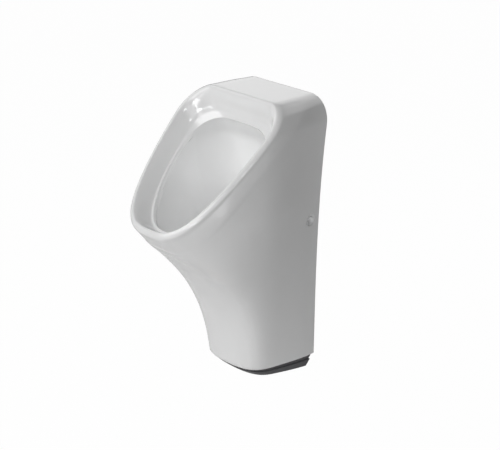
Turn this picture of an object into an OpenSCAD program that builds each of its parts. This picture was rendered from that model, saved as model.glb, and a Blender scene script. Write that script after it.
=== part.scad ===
// Wall-hung waterless urinal: a glazed ceramic shell with a tilted collar, its odour trap,
// its waste pipe, its wall brackets and the tray that closes it from below.
// Depths are measured forward from the wall, heights from the ceramic's lowest edge.

/* [Ceramic body] */
// Width that the sides spread to in front, before the collar rounds it off
body_w = 292; // [284:1:304]
// Depth from the wall to the front of the rim
body_d = 340; // [334:1:350]
// Height of the ceramic above its lowest edge
body_h = 551; // [542:1:566]
// Thickness of the skirt's wall
skirt_wall = 12; // [10:0.5:13]
// Thickness of the bowl's wall
bowl_wall = 11; // [9:0.5:12]
// Thickness of the front wall where it carries the bowl
front_wall = 22; // [20:0.5:26]

/* [Foot of the skirt] */
// Width of the foot at the wall
foot_w = 208; // [204:1:216]
// Width that the foot draws in to at its front
foot_front_w = 153; // [148:1:160]
// Depth of the foot
foot_d = 147.5; // [144:0.5:152]
// Rise of the lower edge from the front to the wall
foot_rise = 13; // [6:1:16]
// Share of the foot's depth that its rounded front takes
foot_round = 0.505; // [0.45:0.005:0.6]
// Depth from the wall over which the width changes to the front's
blend_d = 170; // [150:5:200]
// Height at which the front is as wide as the collar
full_w_z = 344; // [320:2:360]
// Rise of the front wall before it sweeps forward
front_rise = 199; // [180:1:220]
// Length of the front wall's straight run up into the collar
front_run_up = 30; // [20:1:40]
// Slope of that run from level
front_run_slope = 77; // [70:1:85]

/* [Top and collar] */
// Width of the body at the wall and at the top, before its edges are rounded
top_w = 265; // [258:1:270]
// Depth at which the flat top rolls over into the rim
top_d = 103; // [98:1:110]
// Radius of the rounded top side edges
top_edge_r = 53; // [46:1:58]
// Height of the front of the rim
rim_low_z = 321; // [314:1:328]
// Radius of the rim's outer edge
rim_r = 10.5; // [8:0.5:12]
// Width of the band around the collar
band_w = 22; // [18:1:26]
// Extra width of the band at its upper and lower ends
band_swell = 18; // [8:1:20]
// Depth of the inner lip below the rim's crest
lip_depth = 40; // [36:1:44]
// Width of the opening inside the inner lip
lip_w = 202.5; // [196:0.5:206]
// Distance from the crest down to the lip along the collar at its top
lip_top_in = 36; // [32:1:42]
// Distance from the lip to the crest along the collar at its bottom
lip_low_in = 20; // [16:1:24]
// Height of the bead that runs round the inner lip
bead_h = 2; // [1:0.5:3]
// Undercut of the bowl behind the lip
undercut = 6; // [3:0.5:8]

/* [Bowl] */
// Height of the bowl's floor
floor_z = 178; // [174:1:184]
// Depth of the outlet's axis from the wall
outlet_d = 92; // [90:0.5:95]
// Radius of the bowl's flat floor
floor_r = 38; // [37:0.5:42]
// Height of the ledge where the bowl's ceiling meets its back
ledge_z = 457; // [450:1:462]
// Depth of that ledge from the wall
ledge_d = 78; // [74:1:82]
// Radius of the outlet hole in the ceramic
outlet_hole_r = 27; // [26.5:0.1:28]

/* [Wall fixing] */
// Height of the side holes and of the brackets' middle
fix_z = 305; // [295:1:315]
// Depth of the side holes from the wall
side_hole_d = 25; // [23:0.5:28]
// Radius of the side holes in the ceramic
side_hole_r = 10; // [9:0.5:11]
// Distance of the cap below the ceramic's surface
cap_sink = 1.5; // [0.5:0.5:3]
// Thickness of the brackets' steel
bracket_t = 3; // [2:0.5:4]
// Height of a bracket
bracket_h = 110; // [100:2:130]
// Width of the brackets' wall flange
flange_w = 40; // [36:1:44]
// Depth of a bracket's side flange
bracket_d = 42; // [38:1:46]
// Radius of the brackets' rounded corners
bracket_corner = 8; // [4:1:10]
// Distance between a bracket's two wall holes
wall_hole_gap = 76; // [70:1:80]
// Distance between the left and the right wall holes
wall_hole_span = 140; // [136:1:146]
// Radius of the wall holes
wall_hole_r = 5.5; // [4.5:0.5:6]
// Radius of the side screws
screw_r = 4; // [3:0.5:4.5]
// Radius of a side screw's head
screw_head_r = 6.5; // [5.5:0.5:6.5]
// Height of that head
screw_head_h = 4; // [3:0.5:4.5]
// Across flats of the screw's hexagon socket
socket_af = 5; // [4:0.5:6]
// Size across corners of the nut welded to a bracket
weld_nut_d = 15; // [13:0.5:17]
// Height of that nut
weld_nut_h = 6.5; // [5:0.5:8]
// Radius of the bushes' inner flange
bush_flange_r = 14; // [12:0.5:16]
// Thickness of that flange
bush_flange_t = 3; // [2:0.5:4]
// Gap between a bush's flange and the skirt's inner wall
bush_gap = 0.6; // [0.4:0.1:1]
// Depth of a screw head's seat in its bush, from the bush's inner flange
head_seat = 3; // [2:0.5:4]
// Gap round a screw's head
head_gap = 1; // [0.75:0.25:1.25]
// Length of a screw past its weld nut
screw_past = 4; // [2:0.5:8]
// Thickness of the side caps
cap_t = 2.5; // [2:0.25:3]
// Gap between a cap's edge and the side hole
cap_gap = 1.1; // [0.5:0.1:1.5]
// Taper of a cap's edge
cap_taper = 0.8; // [0.4:0.1:1]
// Length of the ring that plugs a cap into its bush
cap_plug = 2; // [1.5:0.25:2.5]
// Wall of that ring
cap_plug_wall = 1.25; // [1:0.25:1.5]

/* [Waste fitting and odour trap] */
// Outer radius of the waste fitting's tail
tail_r = 26; // [25.5:0.1:26.4]
// Wall of the tail
tail_wall = 2.5; // [2:0.25:3]
// Radius of the waste fitting's flange
flange_r = 34; // [32:0.5:35]
// Thickness of that flange
flange_t = 5; // [4:0.5:6]
// Depth of the cartridge's seat in the flange
rim_sink = 3; // [2:0.5:3.5]
// Width of the seat that the cartridge's rim lies on
seat_w = 3; // [2.5:0.25:3.5]
// Taper of the flange's edge
flange_taper = 2; // [1:0.5:3]
// Height of the tail's lower end
tail_z = 112; // [108:1:116]
// Thickness of the flat seals
seal_t = 2; // [1.5:0.25:3]
// Inset of the flat seals from the edge above them
seal_inset = 1; // [0.5:0.25:2]
// Outer radius of the ring nuts
nut_r = 37; // [36:0.5:38]
// Height of the ring nuts
nut_h = 12; // [10:0.5:14]
// Thickness of a nut's inward lip
nut_lip = 3; // [2:0.5:4]
// Number of grips on a ring nut
nut_grips = 12; // [8:2:16]
// Length of the cartridge
cartridge_l = 76; // [70:1:82]
// Wall of the cartridge
cartridge_wall = 2; // [1.5:0.25:2.5]
// Gap between the cartridge and the tail
cartridge_gap = 0.6; // [0.3:0.1:0.8]
// Gap round the cartridge's rim
rim_gap = 0.3; // [0.2:0.05:0.5]
// Radius of the o-ring's section
o_ring_r = 1.3; // [1:0.1:1.5]
// Distance of the o-ring below the cartridge's seat
o_ring_drop = 14; // [10:1:18]
// Distance of the membrane's ring below the cartridge's top
membrane_drop = 27; // [24:1:32]
// Thickness of the membrane's ring
ring_t = 3; // [2:0.5:4]
// Width of the membrane's ring
ring_w = 3; // [2:0.5:4]
// Radius of the silicone hose where it is round
hose_r = 13; // [11:0.5:14]
// Wall of the silicone hose
hose_wall = 1.2; // [1:0.1:1.6]
// Width of the cartridge's rim round the strainer
strainer_rim = 1.5; // [1.25:0.25:2]
// Thickness of the strainer disc
strainer_t = 1.5; // [1:0.25:2]
// Radius of the strainer's round holes
strainer_hole_r = 1.6; // [1.2:0.1:1.8]
// Distance between the strainer's rings of holes
strainer_pitch = 6; // [5:0.25:7]

/* [Trap housing and pipe] */
// Outer radius of the housing's chamber
chamber_r = 34; // [33:0.5:35]
// Wall of the housing
housing_wall = 2.5; // [2:0.25:3]
// Height of the chamber's underside
chamber_z = 38; // [34:1:42]
// Height of the waste pipe's axis
pipe_z = 78; // [76:1:82]
// Outer radius of the waste pipe
pipe_r = 25; // [24:0.5:26]
// Wall of the waste pipe
pipe_wall = 2; // [1.8:0.1:2.5]
// Length of the waste pipe behind the wall's face
pipe_reach = 45; // [30:1:60]
// Radius of the bead that stops the pipe at the wall
pipe_bead_r = 27.5; // [27:0.25:29]
// Width of that bead
pipe_bead_w = 3; // [2:0.5:4]
// Distance of the bead from the wall's face
pipe_bead_gap = 0.5; // [0.25:0.25:1]
// Length of the chamfer at the pipe's end
pipe_chamfer = 2; // [1:0.5:3]
// Wall of the housing's screw collars
collar_wall = 4.5; // [4:0.25:5]
// Length of the inlet collar round the tail
inlet_grip = 22; // [18:1:26]
// Length of the outlet collar round the pipe
outlet_grip = 23; // [20:1:25]
// Chamfer round the chamber's underside
chamber_edge = 3; // [2:0.5:4]
// Height of the cone between the chamber and its neck
cone_h = 6; // [5:0.5:7]
// Thickness of the shoulder that the tail stands on
shoulder_t = 5; // [4:0.5:6]
// Distance from the chamber to the stop in the outlet collar
stop_gap = 4; // [3:0.5:4.5]
// Height of the wedge rings
wedge_h = 5; // [4:0.5:6]
// Radius of the cleaning opening
clean_r = 26; // [24:0.5:27]
// Length of the cleaning opening's collar
clean_neck = 10; // [8:1:12]
// Thickness of the cleaning plug's floor
plug_t = 4; // [3:0.5:5]
// Depth of the bar that turns the cleaning plug
plug_bar = 6; // [4:0.5:8]
// Running gap of threads and of plugged pieces
fit_gap = 0.05; // [0.02:0.01:0.1]

/* [Bottom cover] */
// Gap between the ceramic's edge and the cover
cover_gap = 1.5; // [1:0.25:3]
// Inset of the cover's rim from the ceramic's outline
cover_inset = 3; // [2:0.5:5]
// Further inset of the cover's floor at its sides
cover_side_taper = 6; // [4:0.5:9]
// Inset of the cover's floor from the foot at the wall
cover_back_taper = 14; // [8:1:18]
// Inset of the cover's floor from the foot at the front
cover_front_taper = 19; // [12:1:24]
// Depth of the cover below the ceramic's lowest edge
cover_drop = 15; // [10:0.5:18]
// Wall of the cover
cover_wall = 2.5; // [2:0.25:3.5]
// Height of the spring clips
clip_h = 40; // [36:1:46]
// Width of a spring clip
clip_w = 14; // [10:1:18]
// Depth of the rear clips' middle from the wall
clip_rear_d = 24; // [20:1:28]
// Depth of the front clips' middle from the wall
clip_front_d = 52; // [46:1:56]
// Thickness of the spring clips
clip_t = 1; // [0.8:0.1:1.5]
// Length of a clip's foot on the tray
clip_foot = 11; // [8:1:14]
// Lean of a clip towards the skirt
clip_lean = 5; // [3:0.5:6]
// Height of a clip's bent tip
clip_tip_h = 12; // [8:1:14]
// How far that tip bends back in
clip_tip_in = 3; // [2:0.5:4]
// Gap of the clips to the skirt
clip_gap = 0.3; // [0.2:0.05:0.5]

/* [Hidden] */
$fn = 64;

white = [0.93, 0.94, 0.95];
steel = [0.72, 0.73, 0.75];
black = [0.12, 0.12, 0.13];
grey = [0.33, 0.34, 0.36];
plastic = [0.82, 0.83, 0.84];
slack = 1;          // how far a cutting shape runs past the face that it cuts

// Small helpers for points in the middle plane, written [depth, height]
function mix(a, b, t) = a + (b - a) * t;
function share(t) = max(0, min(1, t));
function ease(t) = let (k = share(t)) k * k * (3 - 2 * k);
function curve(p, t) =
    p[0] * pow(1 - t, 3) + 3 * p[1] * t * pow(1 - t, 2) + 3 * p[2] * t * t * (1 - t) + p[3] * pow(t, 3);
function heading(p, t) =
    let (v = (p[1] - p[0]) * pow(1 - t, 2) + 2 * (p[2] - p[1]) * t * (1 - t) + (p[3] - p[2]) * t * t)
    v / norm(v);

// The collar's plane: its rim is a rounded edge whose centre line runs from rim_top to rim_low
rim_top = [top_d, body_h - rim_r];
rim_low = [body_d - rim_r, rim_low_z];
down = (rim_low - rim_top) / norm(rim_low - rim_top);
proud = [-down[1], down[0]];
crest_top = rim_top + rim_r * proud;
crest_low = rim_low + rim_r * proud;

// The front wall, from the foot up to the crease behind the collar's band
crease_low = rim_low + rim_r * down - band_w * proud;
front = [
    [foot_d, 0],
    [foot_d, front_rise],
    crease_low - front_run_up * [cos(front_run_slope), sin(front_run_slope)],
    crease_low
];
// The band meets the flat top here
band_top_d = rim_top[0] - rim_r * down[0] - band_w * (proud[0] - proud[1] * down[0] / down[1]);

// Half widths of the body at the wall and towards its front
function wall_half(z) = foot_w / 2 + (top_w - foot_w) / 2 * pow(max(0, z) / body_h, 3);
function front_half(z) = mix(foot_front_w, body_w, share(z / full_w_z)) / 2;
function body_half(p) = mix(wall_half(p[1]), front_half(p[1]), ease(p[0] / blend_d));

// How a section's outline closes at its front: [share of its length, flatness, corner]
foot_close = [foot_round, 4.9, 2.4];
middle_close = [0.693, 4.5, 5.85];
collar_close = [0.918, 1.5, 3.39];
function closing(t) =
    t < 0.5 ? mix(foot_close, middle_close, 2 * t) : mix(middle_close, collar_close, 2 * t - 1);

// Points of half an outline, counted from the middle of its back to the middle of its front
back_steps = 3;
corner_steps = 5;
side_steps = 4;
close_steps = 12;
half_steps = back_steps + corner_steps + side_steps + close_steps;
function run(a, c) = pow(1 - pow(cos(a), c[2]), 1 / c[1]);
function width_share(q, l, c) =
    let (s = share((q - l * (1 - c[0])) / (l * c[0]))) pow(max(0, 1 - pow(s, c[1])), 1 / c[2]);

// Distances along a body section at which its points lie
function body_runs(l, c) =
    let (
        corner = min(-top_edge_r / down[1], 0.3 * l),
        side_end = max(l * (1 - c[0]), corner + 0.15 * l),
        s = (side_end - l * (1 - c[0])) / (l * c[0]),
        a = acos(pow(1 - pow(s, c[1]), 1 / c[2]))
    )
    concat(
        [for (i = [0:back_steps]) 0],
        [for (i = [1:corner_steps]) corner * (1 - cos(90 * i / corner_steps))],
        [for (i = [1:side_steps]) mix(corner, side_end, i / side_steps)],
        [for (i = [1:close_steps]) l * (1 - c[0] + c[0] * run(mix(a, 90, i / close_steps), c))]
    );

// One closed outline of the body. A section is [back, front, closing, narrowing, swell];
// inset moves the whole outline inwards by a wall.
function body_outline(sec, inset) =
    let (
        back = sec[0],
        l = norm(sec[1] - back),
        dir = (sec[1] - back) / l,
        qs = body_runs(l, sec[2]),
        edge_r = top_edge_r - inset,
        half = [for (i = [0:half_steps])
            let (
                p = back + dir * qs[i],
                shift = sec[4] * pow(2 * qs[i] / l - 1, 2),
                at = p - shift * mix([1 / proud[0], 0], proud, ease(2 * qs[i] / l)),
                over = max(0, min(edge_r, at[1] - (body_h - inset - edge_r))),
                x = (body_half(p) - inset - sec[3]) * width_share(qs[i], l, sec[2])
                    - edge_r + sqrt(edge_r * edge_r - over * over)
            )
            [max(0, x) * min(1, i / back_steps), -at[0], at[1]]]
    )
    both_sides(half);

function both_sides(half) =
    let (n = len(half) - 1)
    concat(half, [for (i = [n - 1:-1:1]) [-half[i][0], half[i][1], half[i][2]]]);

// A closed solid through a row of outlines that all have the same number of points; looped
// joins the last outline to the first, and otherwise both ends are closed
function middle(o) = [for (p = o) 1] * o / len(o);
module loft(outlines, looped = false) {
    n = len(outlines[0]);
    all = len(outlines) * n;
    last = all - n;
    tip = all;
    sides = [for (k = [0:len(outlines) - (looped ? 1 : 2)], i = [0:n - 1])
        let (a = k * n + i, b = k * n + (i + 1) % n, c = (a + n) % all, d = (b + n) % all)
        each [[a, d, c], [a, b, d]]];
    caps = looped ? [] : [for (i = [0:n - 1])
        let (j = (i + 1) % n)
        each [[tip, j, i], [tip + 1, last + i, last + j]]];
    ends = looped ? [] : [middle(outlines[0]), middle(outlines[len(outlines) - 1])];
    polyhedron(
        points = concat([for (o = outlines) each o], ends),
        faces = concat(sides, caps), convexity = 8
    );
}

// Share of the front wall at which a section's back reaches the top of the wall
wall_share = 0.829;
thick_from = 0.45;      // share at which the front wall starts to thicken
thick_over = 0.2;       // share over which it does
function body_section(t, inset) =
    let (
        up = heading(front, t),
        wall = inset > 0 ? mix(inset, front_wall, ease((t - thick_from) / thick_over)) : 0,
        f = curve(front, t) - wall * [up[1], -up[0]],
        rise = foot_rise * pow(1 - t, 2),
        k = (t - wall_share) / (1 - wall_share),
        hidden = inset > 0 ? -2 * slack : 0,
        b = t < wall_share
            ? [hidden, rise + (body_h - inset - rise) * t / wall_share]
            : [mix(hidden, band_top_d, k), body_h - inset]
    )
    [b, f, closing(t), 0, band_swell * share(k)];

wall_sections = 12;
round_sections = 5;
top_sections = 5;
round_share = wall_share * (body_h - top_edge_r) / body_h;
function wall_shares(steps) = [for (i = [0:steps]) round_share * i / steps];
function round_shares(steps) =
    [for (i = [1:steps]) mix(round_share, wall_share, sin(90 * i / steps))];
section_shares = concat(
    wall_shares(wall_sections), round_shares(round_sections),
    [for (i = [1:top_sections]) mix(wall_share, 1, i / top_sections)]
);

// The band around the collar and the rounded outer edge of the rim
band_steps = 3;
band_fade = 0.8;        // share of its swell that the band loses towards the rim
rim_steps = 4;
// The rim's first section still ends on the flat top, a little behind the rounded edge
flat_until = 45;
flat_back = 0.6 * rim_r;
function band_section(k) =
    [
        [mix(band_top_d, rim_top[0] - rim_r * down[0], k), body_h],
        mix(crease_low, rim_low + rim_r * down, k),
        collar_close, 0, band_swell * (1 - band_fade * k)
    ];
function rim_section(a) =
    let (
        turn = rim_r * (sin(a) * proud - cos(a) * down),
        flat = [rim_top[0] - flat_back * down[0] * cos(a), body_h]
    )
    [
        a < flat_until ? flat : rim_top + turn,
        rim_low + rim_r * (sin(a) * proud + cos(a) * down),
        collar_close, rim_r * (1 - cos(a)), 0
    ];

outer_outlines = concat(
    [for (t = section_shares) body_outline(body_section(t, 0), 0)],
    [for (i = [1:band_steps]) body_outline(band_section(i / band_steps), 0)],
    [for (i = [1:rim_steps]) body_outline(rim_section(90 * i / rim_steps), 0)]
);
crest = outer_outlines[len(outer_outlines) - 1];

// One closed outline of the bowl: [back, front, half width, back closing, front closing].
// lift bends it towards the collar between its two ends.
function bowl_outline(b, f, half_w, back_close, front_close, lift) =
    let (
        l = norm(f - b),
        dir = (f - b) / l,
        arc = back_steps + corner_steps,
        b_len = l * back_close[0],
        f_len = l * front_close[0],
        half = [for (i = [0:half_steps])
            let (
                a = i <= arc ? 90 * (1 - i / arc) : max(0, 90 * (i - arc - side_steps) / close_steps),
                q = i <= arc ? b_len * (1 - run(a, back_close))
                    : i <= arc + side_steps ? mix(b_len, l - f_len, (i - arc) / side_steps)
                    : l - f_len + f_len * run(a, front_close),
                p = b + dir * q + proud * lift_at(q / l) * lift
            )
            [half_w * cos(a), -p[0], p[1]]]
    )
    both_sides(half);
// The bend is fullest a short way from the outline's back and dies out towards its front
lift_turn = 0.28;
function lift_at(u) = (1 - u) - pow(max(0, 1 - u / lift_turn), 1.2);

// The inner lip lies in a plane behind the collar's
lip_top = crest_top + lip_top_in * down - lip_depth * proud;
lip_low = crest_low - lip_low_in * down - lip_depth * proud;
lip_back_close = [0.2, 1.6, 3.65];
lip_front_close = [0.655, 1.5, 2.54];
function lip_outline(grow, deeper) =
    bowl_outline(
        lip_top - grow * down - deeper * proud, lip_low + grow * down - deeper * proud,
        lip_w / 2 + grow, lip_back_close, lip_front_close, 0
    );
lip = lip_outline(0, 0);

// The funnel between the crest and the lip, as [share of the way in, depth as a share]
funnel_profile = [
    [0.05, 0.01], [0.12, 0.05], [0.25, 0.17], [0.42, 0.38], [0.58, 0.59], [0.72, 0.76], [0.8, 0.82]
];
function funnel_outline(s, depth) =
    [for (i = [0:len(crest) - 1])
        let (straight = mix(crest[i], lip[i], s), drop = lip_depth * (s - depth))
        straight + drop * [0, -proud[0], proud[1]]];

// The bowl's ceiling runs from behind the lip to the ledge; its back and front walls then
// curve down to the floor
ledge_bend = 41;        // how far the ledge's sides bend towards the collar
ledge = [ledge_d, ledge_z];
under_lip = lip_low - (undercut + 2) * proud + 4 * down;
floor_back = [outlet_d - floor_r, floor_z];
floor_front = [outlet_d + floor_r, floor_z];
bowl_back = [ledge, ledge - [18, 77], floor_back - [22, 0], floor_back];
bowl_front = [under_lip, under_lip - [21, 43], floor_front + [45, 0], floor_front];
function bowl_wall_outline(s, grow) =
    let (
        bd = heading(bowl_back, s),
        fd = heading(bowl_front, s),
        b = curve(bowl_back, s) + grow * [bd[1], -bd[0]],
        f = curve(bowl_front, s) + grow * [-fd[1], fd[0]],
        half_w = mix(floor_r, lip_w / 2 + undercut, 1 - pow(s, 2.2)) + grow
    )
    bowl_outline(
        b, f, half_w,
        mix(lip_back_close, [0.42, 2, 2], s), mix(lip_front_close, [0.42, 2, 2], s),
        ledge_bend * pow(1 - s, 1.5)
    );

ledge_outline = bowl_wall_outline(0, 0);
lip_under = lip_outline(1, 5);
inner_outlines = concat(
    [for (p = funnel_profile) funnel_outline(p[0], p[1])],
    [
        funnel_outline(0.86, 0.83), funnel_outline(0.93, 0.83 - bead_h / lip_depth / 2),
        funnel_outline(0.98, 0.88), lip, lip_under
    ],
    [for (k = [0.4, 0.75, 1]) mix(lip_under, ledge_outline, k)],
    [for (s = [0.08, 0.2, 0.32, 0.44, 0.56, 0.68, 0.79, 0.89, 0.96, 1]) bowl_wall_outline(s, 0)]
);

// The skirt's hollow, up to a roof that runs parallel to the funnel
function lowered(o, dz) = [for (p = o) [p[0], p[1], p[2] - dz]];
hollow_outlines = concat(
    [lowered(body_outline(body_section(0, skirt_wall), skirt_wall), foot_rise + slack)],
    [for (t = concat(wall_shares(6), round_shares(3), [0.9, 0.96, 1]))
        body_outline(body_section(t, skirt_wall), skirt_wall)],
    [lip_outline(0, bowl_wall + 3)]
);

// The bowl's outside, from its underside up into the rim
bowl_outside = concat(
    [for (s = [1, 0.88, 0.75, 0.6, 0.44, 0.28, 0.12, 0]) bowl_wall_outline(s, bowl_wall)],
    [lip_outline(bowl_wall, 0), lip_outline(bowl_wall, -lip_depth / 2)]
);

// Everything is drawn from the wall fixings' middle
module hung() {
    translate([0, 0, -fix_z]) children();
}
module at_outlet(z) {
    translate([0, -outlet_d, z]) children();
}
module across(x, z) {
    translate([x, -side_hole_d, z]) rotate([0, 90, 0]) children();
}
module to_wall(d, z) {
    translate([0, -d, z]) rotate([-90, 0, 0]) children();
}
module ring(r_out, r_in, h) {
    difference() {
        cylinder(r = r_out, h = h);
        translate([0, 0, -slack]) cylinder(r = r_in, h = h + 2 * slack);
    }
}

module ceramic_body() {
    color(white) hung() difference() {
        loft(concat(outer_outlines, inner_outlines));
        difference() {
            loft(hollow_outlines);
            loft(bowl_outside);
        }
        at_outlet(floor_z - bowl_wall - slack) cylinder(r = outlet_hole_r, h = bowl_wall + 2 * slack);
        across(-body_w / 2, fix_z) cylinder(r = side_hole_r, h = body_w);
    }
}

// Waste fitting: a flanged tail through the bowl's floor, sealed above and below
flange_seat_z = floor_z + seal_t;
flange_top_z = flange_seat_z + flange_t;
tail_in_r = tail_r - tail_wall;
rim_seat_z = flange_top_z - rim_sink;
rim_seat_r = tail_in_r + seat_w;
under_z = floor_z - bowl_wall;

module waste_flange() {
    color(plastic) hung() at_outlet(0) difference() {
        union() {
            translate([0, 0, tail_z]) cylinder(r = tail_r, h = flange_top_z - tail_z);
            translate([0, 0, flange_seat_z]) cylinder(r1 = flange_r, r2 = flange_r - flange_taper, h = flange_t);
        }
        translate([0, 0, tail_z - slack]) cylinder(r = tail_in_r, h = flange_top_z - tail_z + 2 * slack);
        translate([0, 0, rim_seat_z]) cylinder(r = rim_seat_r, h = rim_sink + slack);
    }
}

module flange_seal() {
    color(black) hung() at_outlet(floor_z) ring(flange_r - seal_inset, tail_r + fit_gap, seal_t);
}

module under_seal() {
    color(black) hung() at_outlet(under_z - seal_t)
        ring(nut_r - 2 * seal_inset, tail_r + fit_gap, seal_t);
}

// A ring nut with finger grips round its edge; its lip reaches in over what it holds
grip_r = 4;
module ring_nut(thread_r, lip_r) {
    difference() {
        cylinder(r = nut_r, h = nut_h);
        translate([0, 0, -slack]) cylinder(r = thread_r, h = nut_h - nut_lip + slack);
        translate([0, 0, -slack]) cylinder(r = lip_r, h = nut_h + 2 * slack);
        for (i = [1:nut_grips])
            rotate([0, 0, 360 * i / nut_grips]) translate([nut_r + grip_r / 3, 0, -slack])
                cylinder(r = grip_r, h = nut_h + 2 * slack, $fn = 24);
    }
}

module lock_nut() {
    color(plastic) hung() at_outlet(under_z - seal_t - nut_h)
        ring_nut(tail_r + fit_gap, tail_r + fit_gap);
}

// Odour trap cartridge: hangs by its rim in the flange and lifts out through the bowl
cartridge_r = tail_in_r - cartridge_gap;
cartridge_in_r = cartridge_r - cartridge_wall;
cartridge_foot_z = flange_top_z - cartridge_l;
groove_z = rim_seat_z - o_ring_drop;
o_ring_out = 0.25;  // the middle of the ring's section lies this far outside the cartridge
groove_r = cartridge_r + o_ring_out;
strainer_z = flange_top_z - strainer_t;
strainer_r = rim_seat_r - strainer_rim;
membrane_z = flange_top_z - membrane_drop;
ridge_h = 2;        // the membrane's ring is pressed in as far as a low ridge
ridge_w = 0.5;
hose_seat_r = cartridge_in_r - ring_w;

module cartridge_body() {
    color(plastic) hung() at_outlet(0) difference() {
        union() {
            translate([0, 0, rim_seat_z]) cylinder(r = rim_seat_r - rim_gap, h = rim_sink);
            translate([0, 0, cartridge_foot_z]) cylinder(r = cartridge_r, h = cartridge_l - rim_sink / 2);
        }
        translate([0, 0, cartridge_foot_z - slack])
            cylinder(r = cartridge_in_r - ridge_w, h = cartridge_l + 2 * slack);
        translate([0, 0, cartridge_foot_z - slack])
            cylinder(r = cartridge_in_r, h = membrane_z - ridge_h - cartridge_foot_z + slack);
        translate([0, 0, membrane_z]) cylinder(r = cartridge_in_r, h = membrane_drop + slack);
        translate([0, 0, strainer_z]) cylinder(r = strainer_r + fit_gap, h = strainer_t + slack);
        translate([0, 0, groove_z]) rotate_extrude()
            translate([groove_r, 0]) circle(r = o_ring_r + fit_gap, $fn = 24);
    }
}

// The ring is pressed flat where it meets the tail
module cartridge_o_ring() {
    color(black) hung() at_outlet(groove_z) rotate_extrude() intersection() {
        translate([groove_r, 0]) circle(r = o_ring_r, $fn = 24);
        translate([0, -2 * o_ring_r]) square([tail_in_r - fit_gap, 4 * o_ring_r]);
    }
}

// One hole in the middle, then rings of six, twelve and eighteen
strainer_rings = 3;
module strainer_grid() {
    color(steel) hung() at_outlet(strainer_z) difference() {
        cylinder(r = strainer_r, h = strainer_t);
        translate([0, 0, -slack]) cylinder(r = strainer_hole_r, h = strainer_t + 2 * slack, $fn = 20);
        for (k = [1:strainer_rings], i = [1:6 * k])
            rotate([0, 0, 60 * i / k]) translate([strainer_pitch * k, 0, -slack])
                cylinder(r = strainer_hole_r, h = strainer_t + 2 * slack, $fn = 20);
    }
}

module membrane_ring() {
    color(grey) hung() at_outlet(membrane_z)
        ring(cartridge_in_r - fit_gap, hose_seat_r + fit_gap, ring_t);
}

// The hose hangs by its collar on the ring, round at the top and pressed flat at its foot
hose_clear = 4;         // the hose ends this far above the cartridge's foot
hose_foot_z = cartridge_foot_z + hose_clear;
hose_sides = 32;
hose_steps = 10;
hose_collar_t = 3;
hose_round = 0.15;      // share of its length over which the hose stays round
hose_press = 0.7;       // share over which it is then pressed flat
hose_flat = 0.12;       // thickness of the pressed foot, as a share of the round hose
hose_spread = 0.3;      // how much wider the pressed foot is
function hose_outline(k, wall) =
    let (flat = mix(1, hose_flat, ease((k - hose_round) / hose_press)))
    [for (i = [0:hose_sides - 1])
        let (
            a = -360 * i / hose_sides,
            p = hose_r * [(1 + hose_spread * (1 - flat)) * cos(a), flat * sin(a)],
            q = p * (1 - wall / norm(p))
        )
        [q[0], q[1], mix(membrane_z, hose_foot_z, k)]];
function hose_circle(r, z) =
    [for (i = [0:hose_sides - 1]) let (a = -360 * i / hose_sides) [r * cos(a), r * sin(a), z]];
module hose_membrane() {
    collar_z = membrane_z + ring_t + fit_gap;
    seat_r = hose_seat_r - fit_gap;
    collar_r = hose_seat_r + ring_w * 2 / 3;
    color(grey) hung() at_outlet(0) loft(concat(
        [for (i = [hose_steps:-1:0]) hose_outline(i / hose_steps, 0)],
        [hose_circle(seat_r, collar_z), hose_circle(collar_r, collar_z)],
        [hose_circle(collar_r, collar_z + hose_collar_t)],
        [hose_circle(seat_r - hose_wall, collar_z + hose_collar_t)],
        [hose_circle(seat_r - hose_wall, collar_z)],
        [for (i = [0:hose_steps]) hose_outline(i / hose_steps, hose_wall)]
    ), looped = true);
}

// Trap housing: a chamber below the cartridge, with screw collars for the tail, the pipe and
// the cleaning plug
neck_r = tail_r + collar_wall;
neck_top_z = tail_z + inlet_grip;
shoulder_z = tail_z - fit_gap;
chamber_in_r = chamber_r - housing_wall;
chamber_top_z = shoulder_z - shoulder_t;
inner_edge = chamber_edge - housing_wall / 2;
socket_r = pipe_r + collar_wall;
socket_stop_d = outlet_d - chamber_r - stop_gap;
socket_end_d = socket_stop_d - outlet_grip;
clean_out_r = clean_r + collar_wall;

module trap_housing() {
    color(black) hung() difference() {
        union() {
            at_outlet(0) rotate_extrude() polygon([
                [0, chamber_z], [chamber_r - chamber_edge, chamber_z],
                [chamber_r, chamber_z + chamber_edge], [chamber_r, chamber_top_z],
                [neck_r, chamber_top_z + cone_h], [neck_r, neck_top_z],
                [0, neck_top_z]
            ]);
            at_outlet(chamber_z - clean_neck) cylinder(r = clean_out_r, h = clean_neck + slack);
            to_wall(outlet_d, pipe_z) cylinder(r = socket_r, h = outlet_d - socket_end_d);
        }
        at_outlet(0) rotate_extrude() polygon([
            [0, chamber_z + housing_wall], [chamber_in_r - inner_edge, chamber_z + housing_wall],
            [chamber_in_r, chamber_z + housing_wall + inner_edge],
            [chamber_in_r, chamber_top_z - cone_h / 2], [tail_in_r, chamber_top_z + cone_h / 2],
            [tail_in_r, shoulder_z], [tail_r + fit_gap, shoulder_z],
            [tail_r + fit_gap, neck_top_z + slack], [0, neck_top_z + slack]
        ]);
        at_outlet(chamber_z - clean_neck - slack) cylinder(r = clean_r, h = clean_neck + 2 * housing_wall);
        to_wall(outlet_d, pipe_z) cylinder(r = pipe_in_r, h = outlet_d - socket_end_d + slack);
        to_wall(socket_stop_d, pipe_z) cylinder(r = pipe_r + fit_gap, h = outlet_grip + slack);
    }
}

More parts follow.
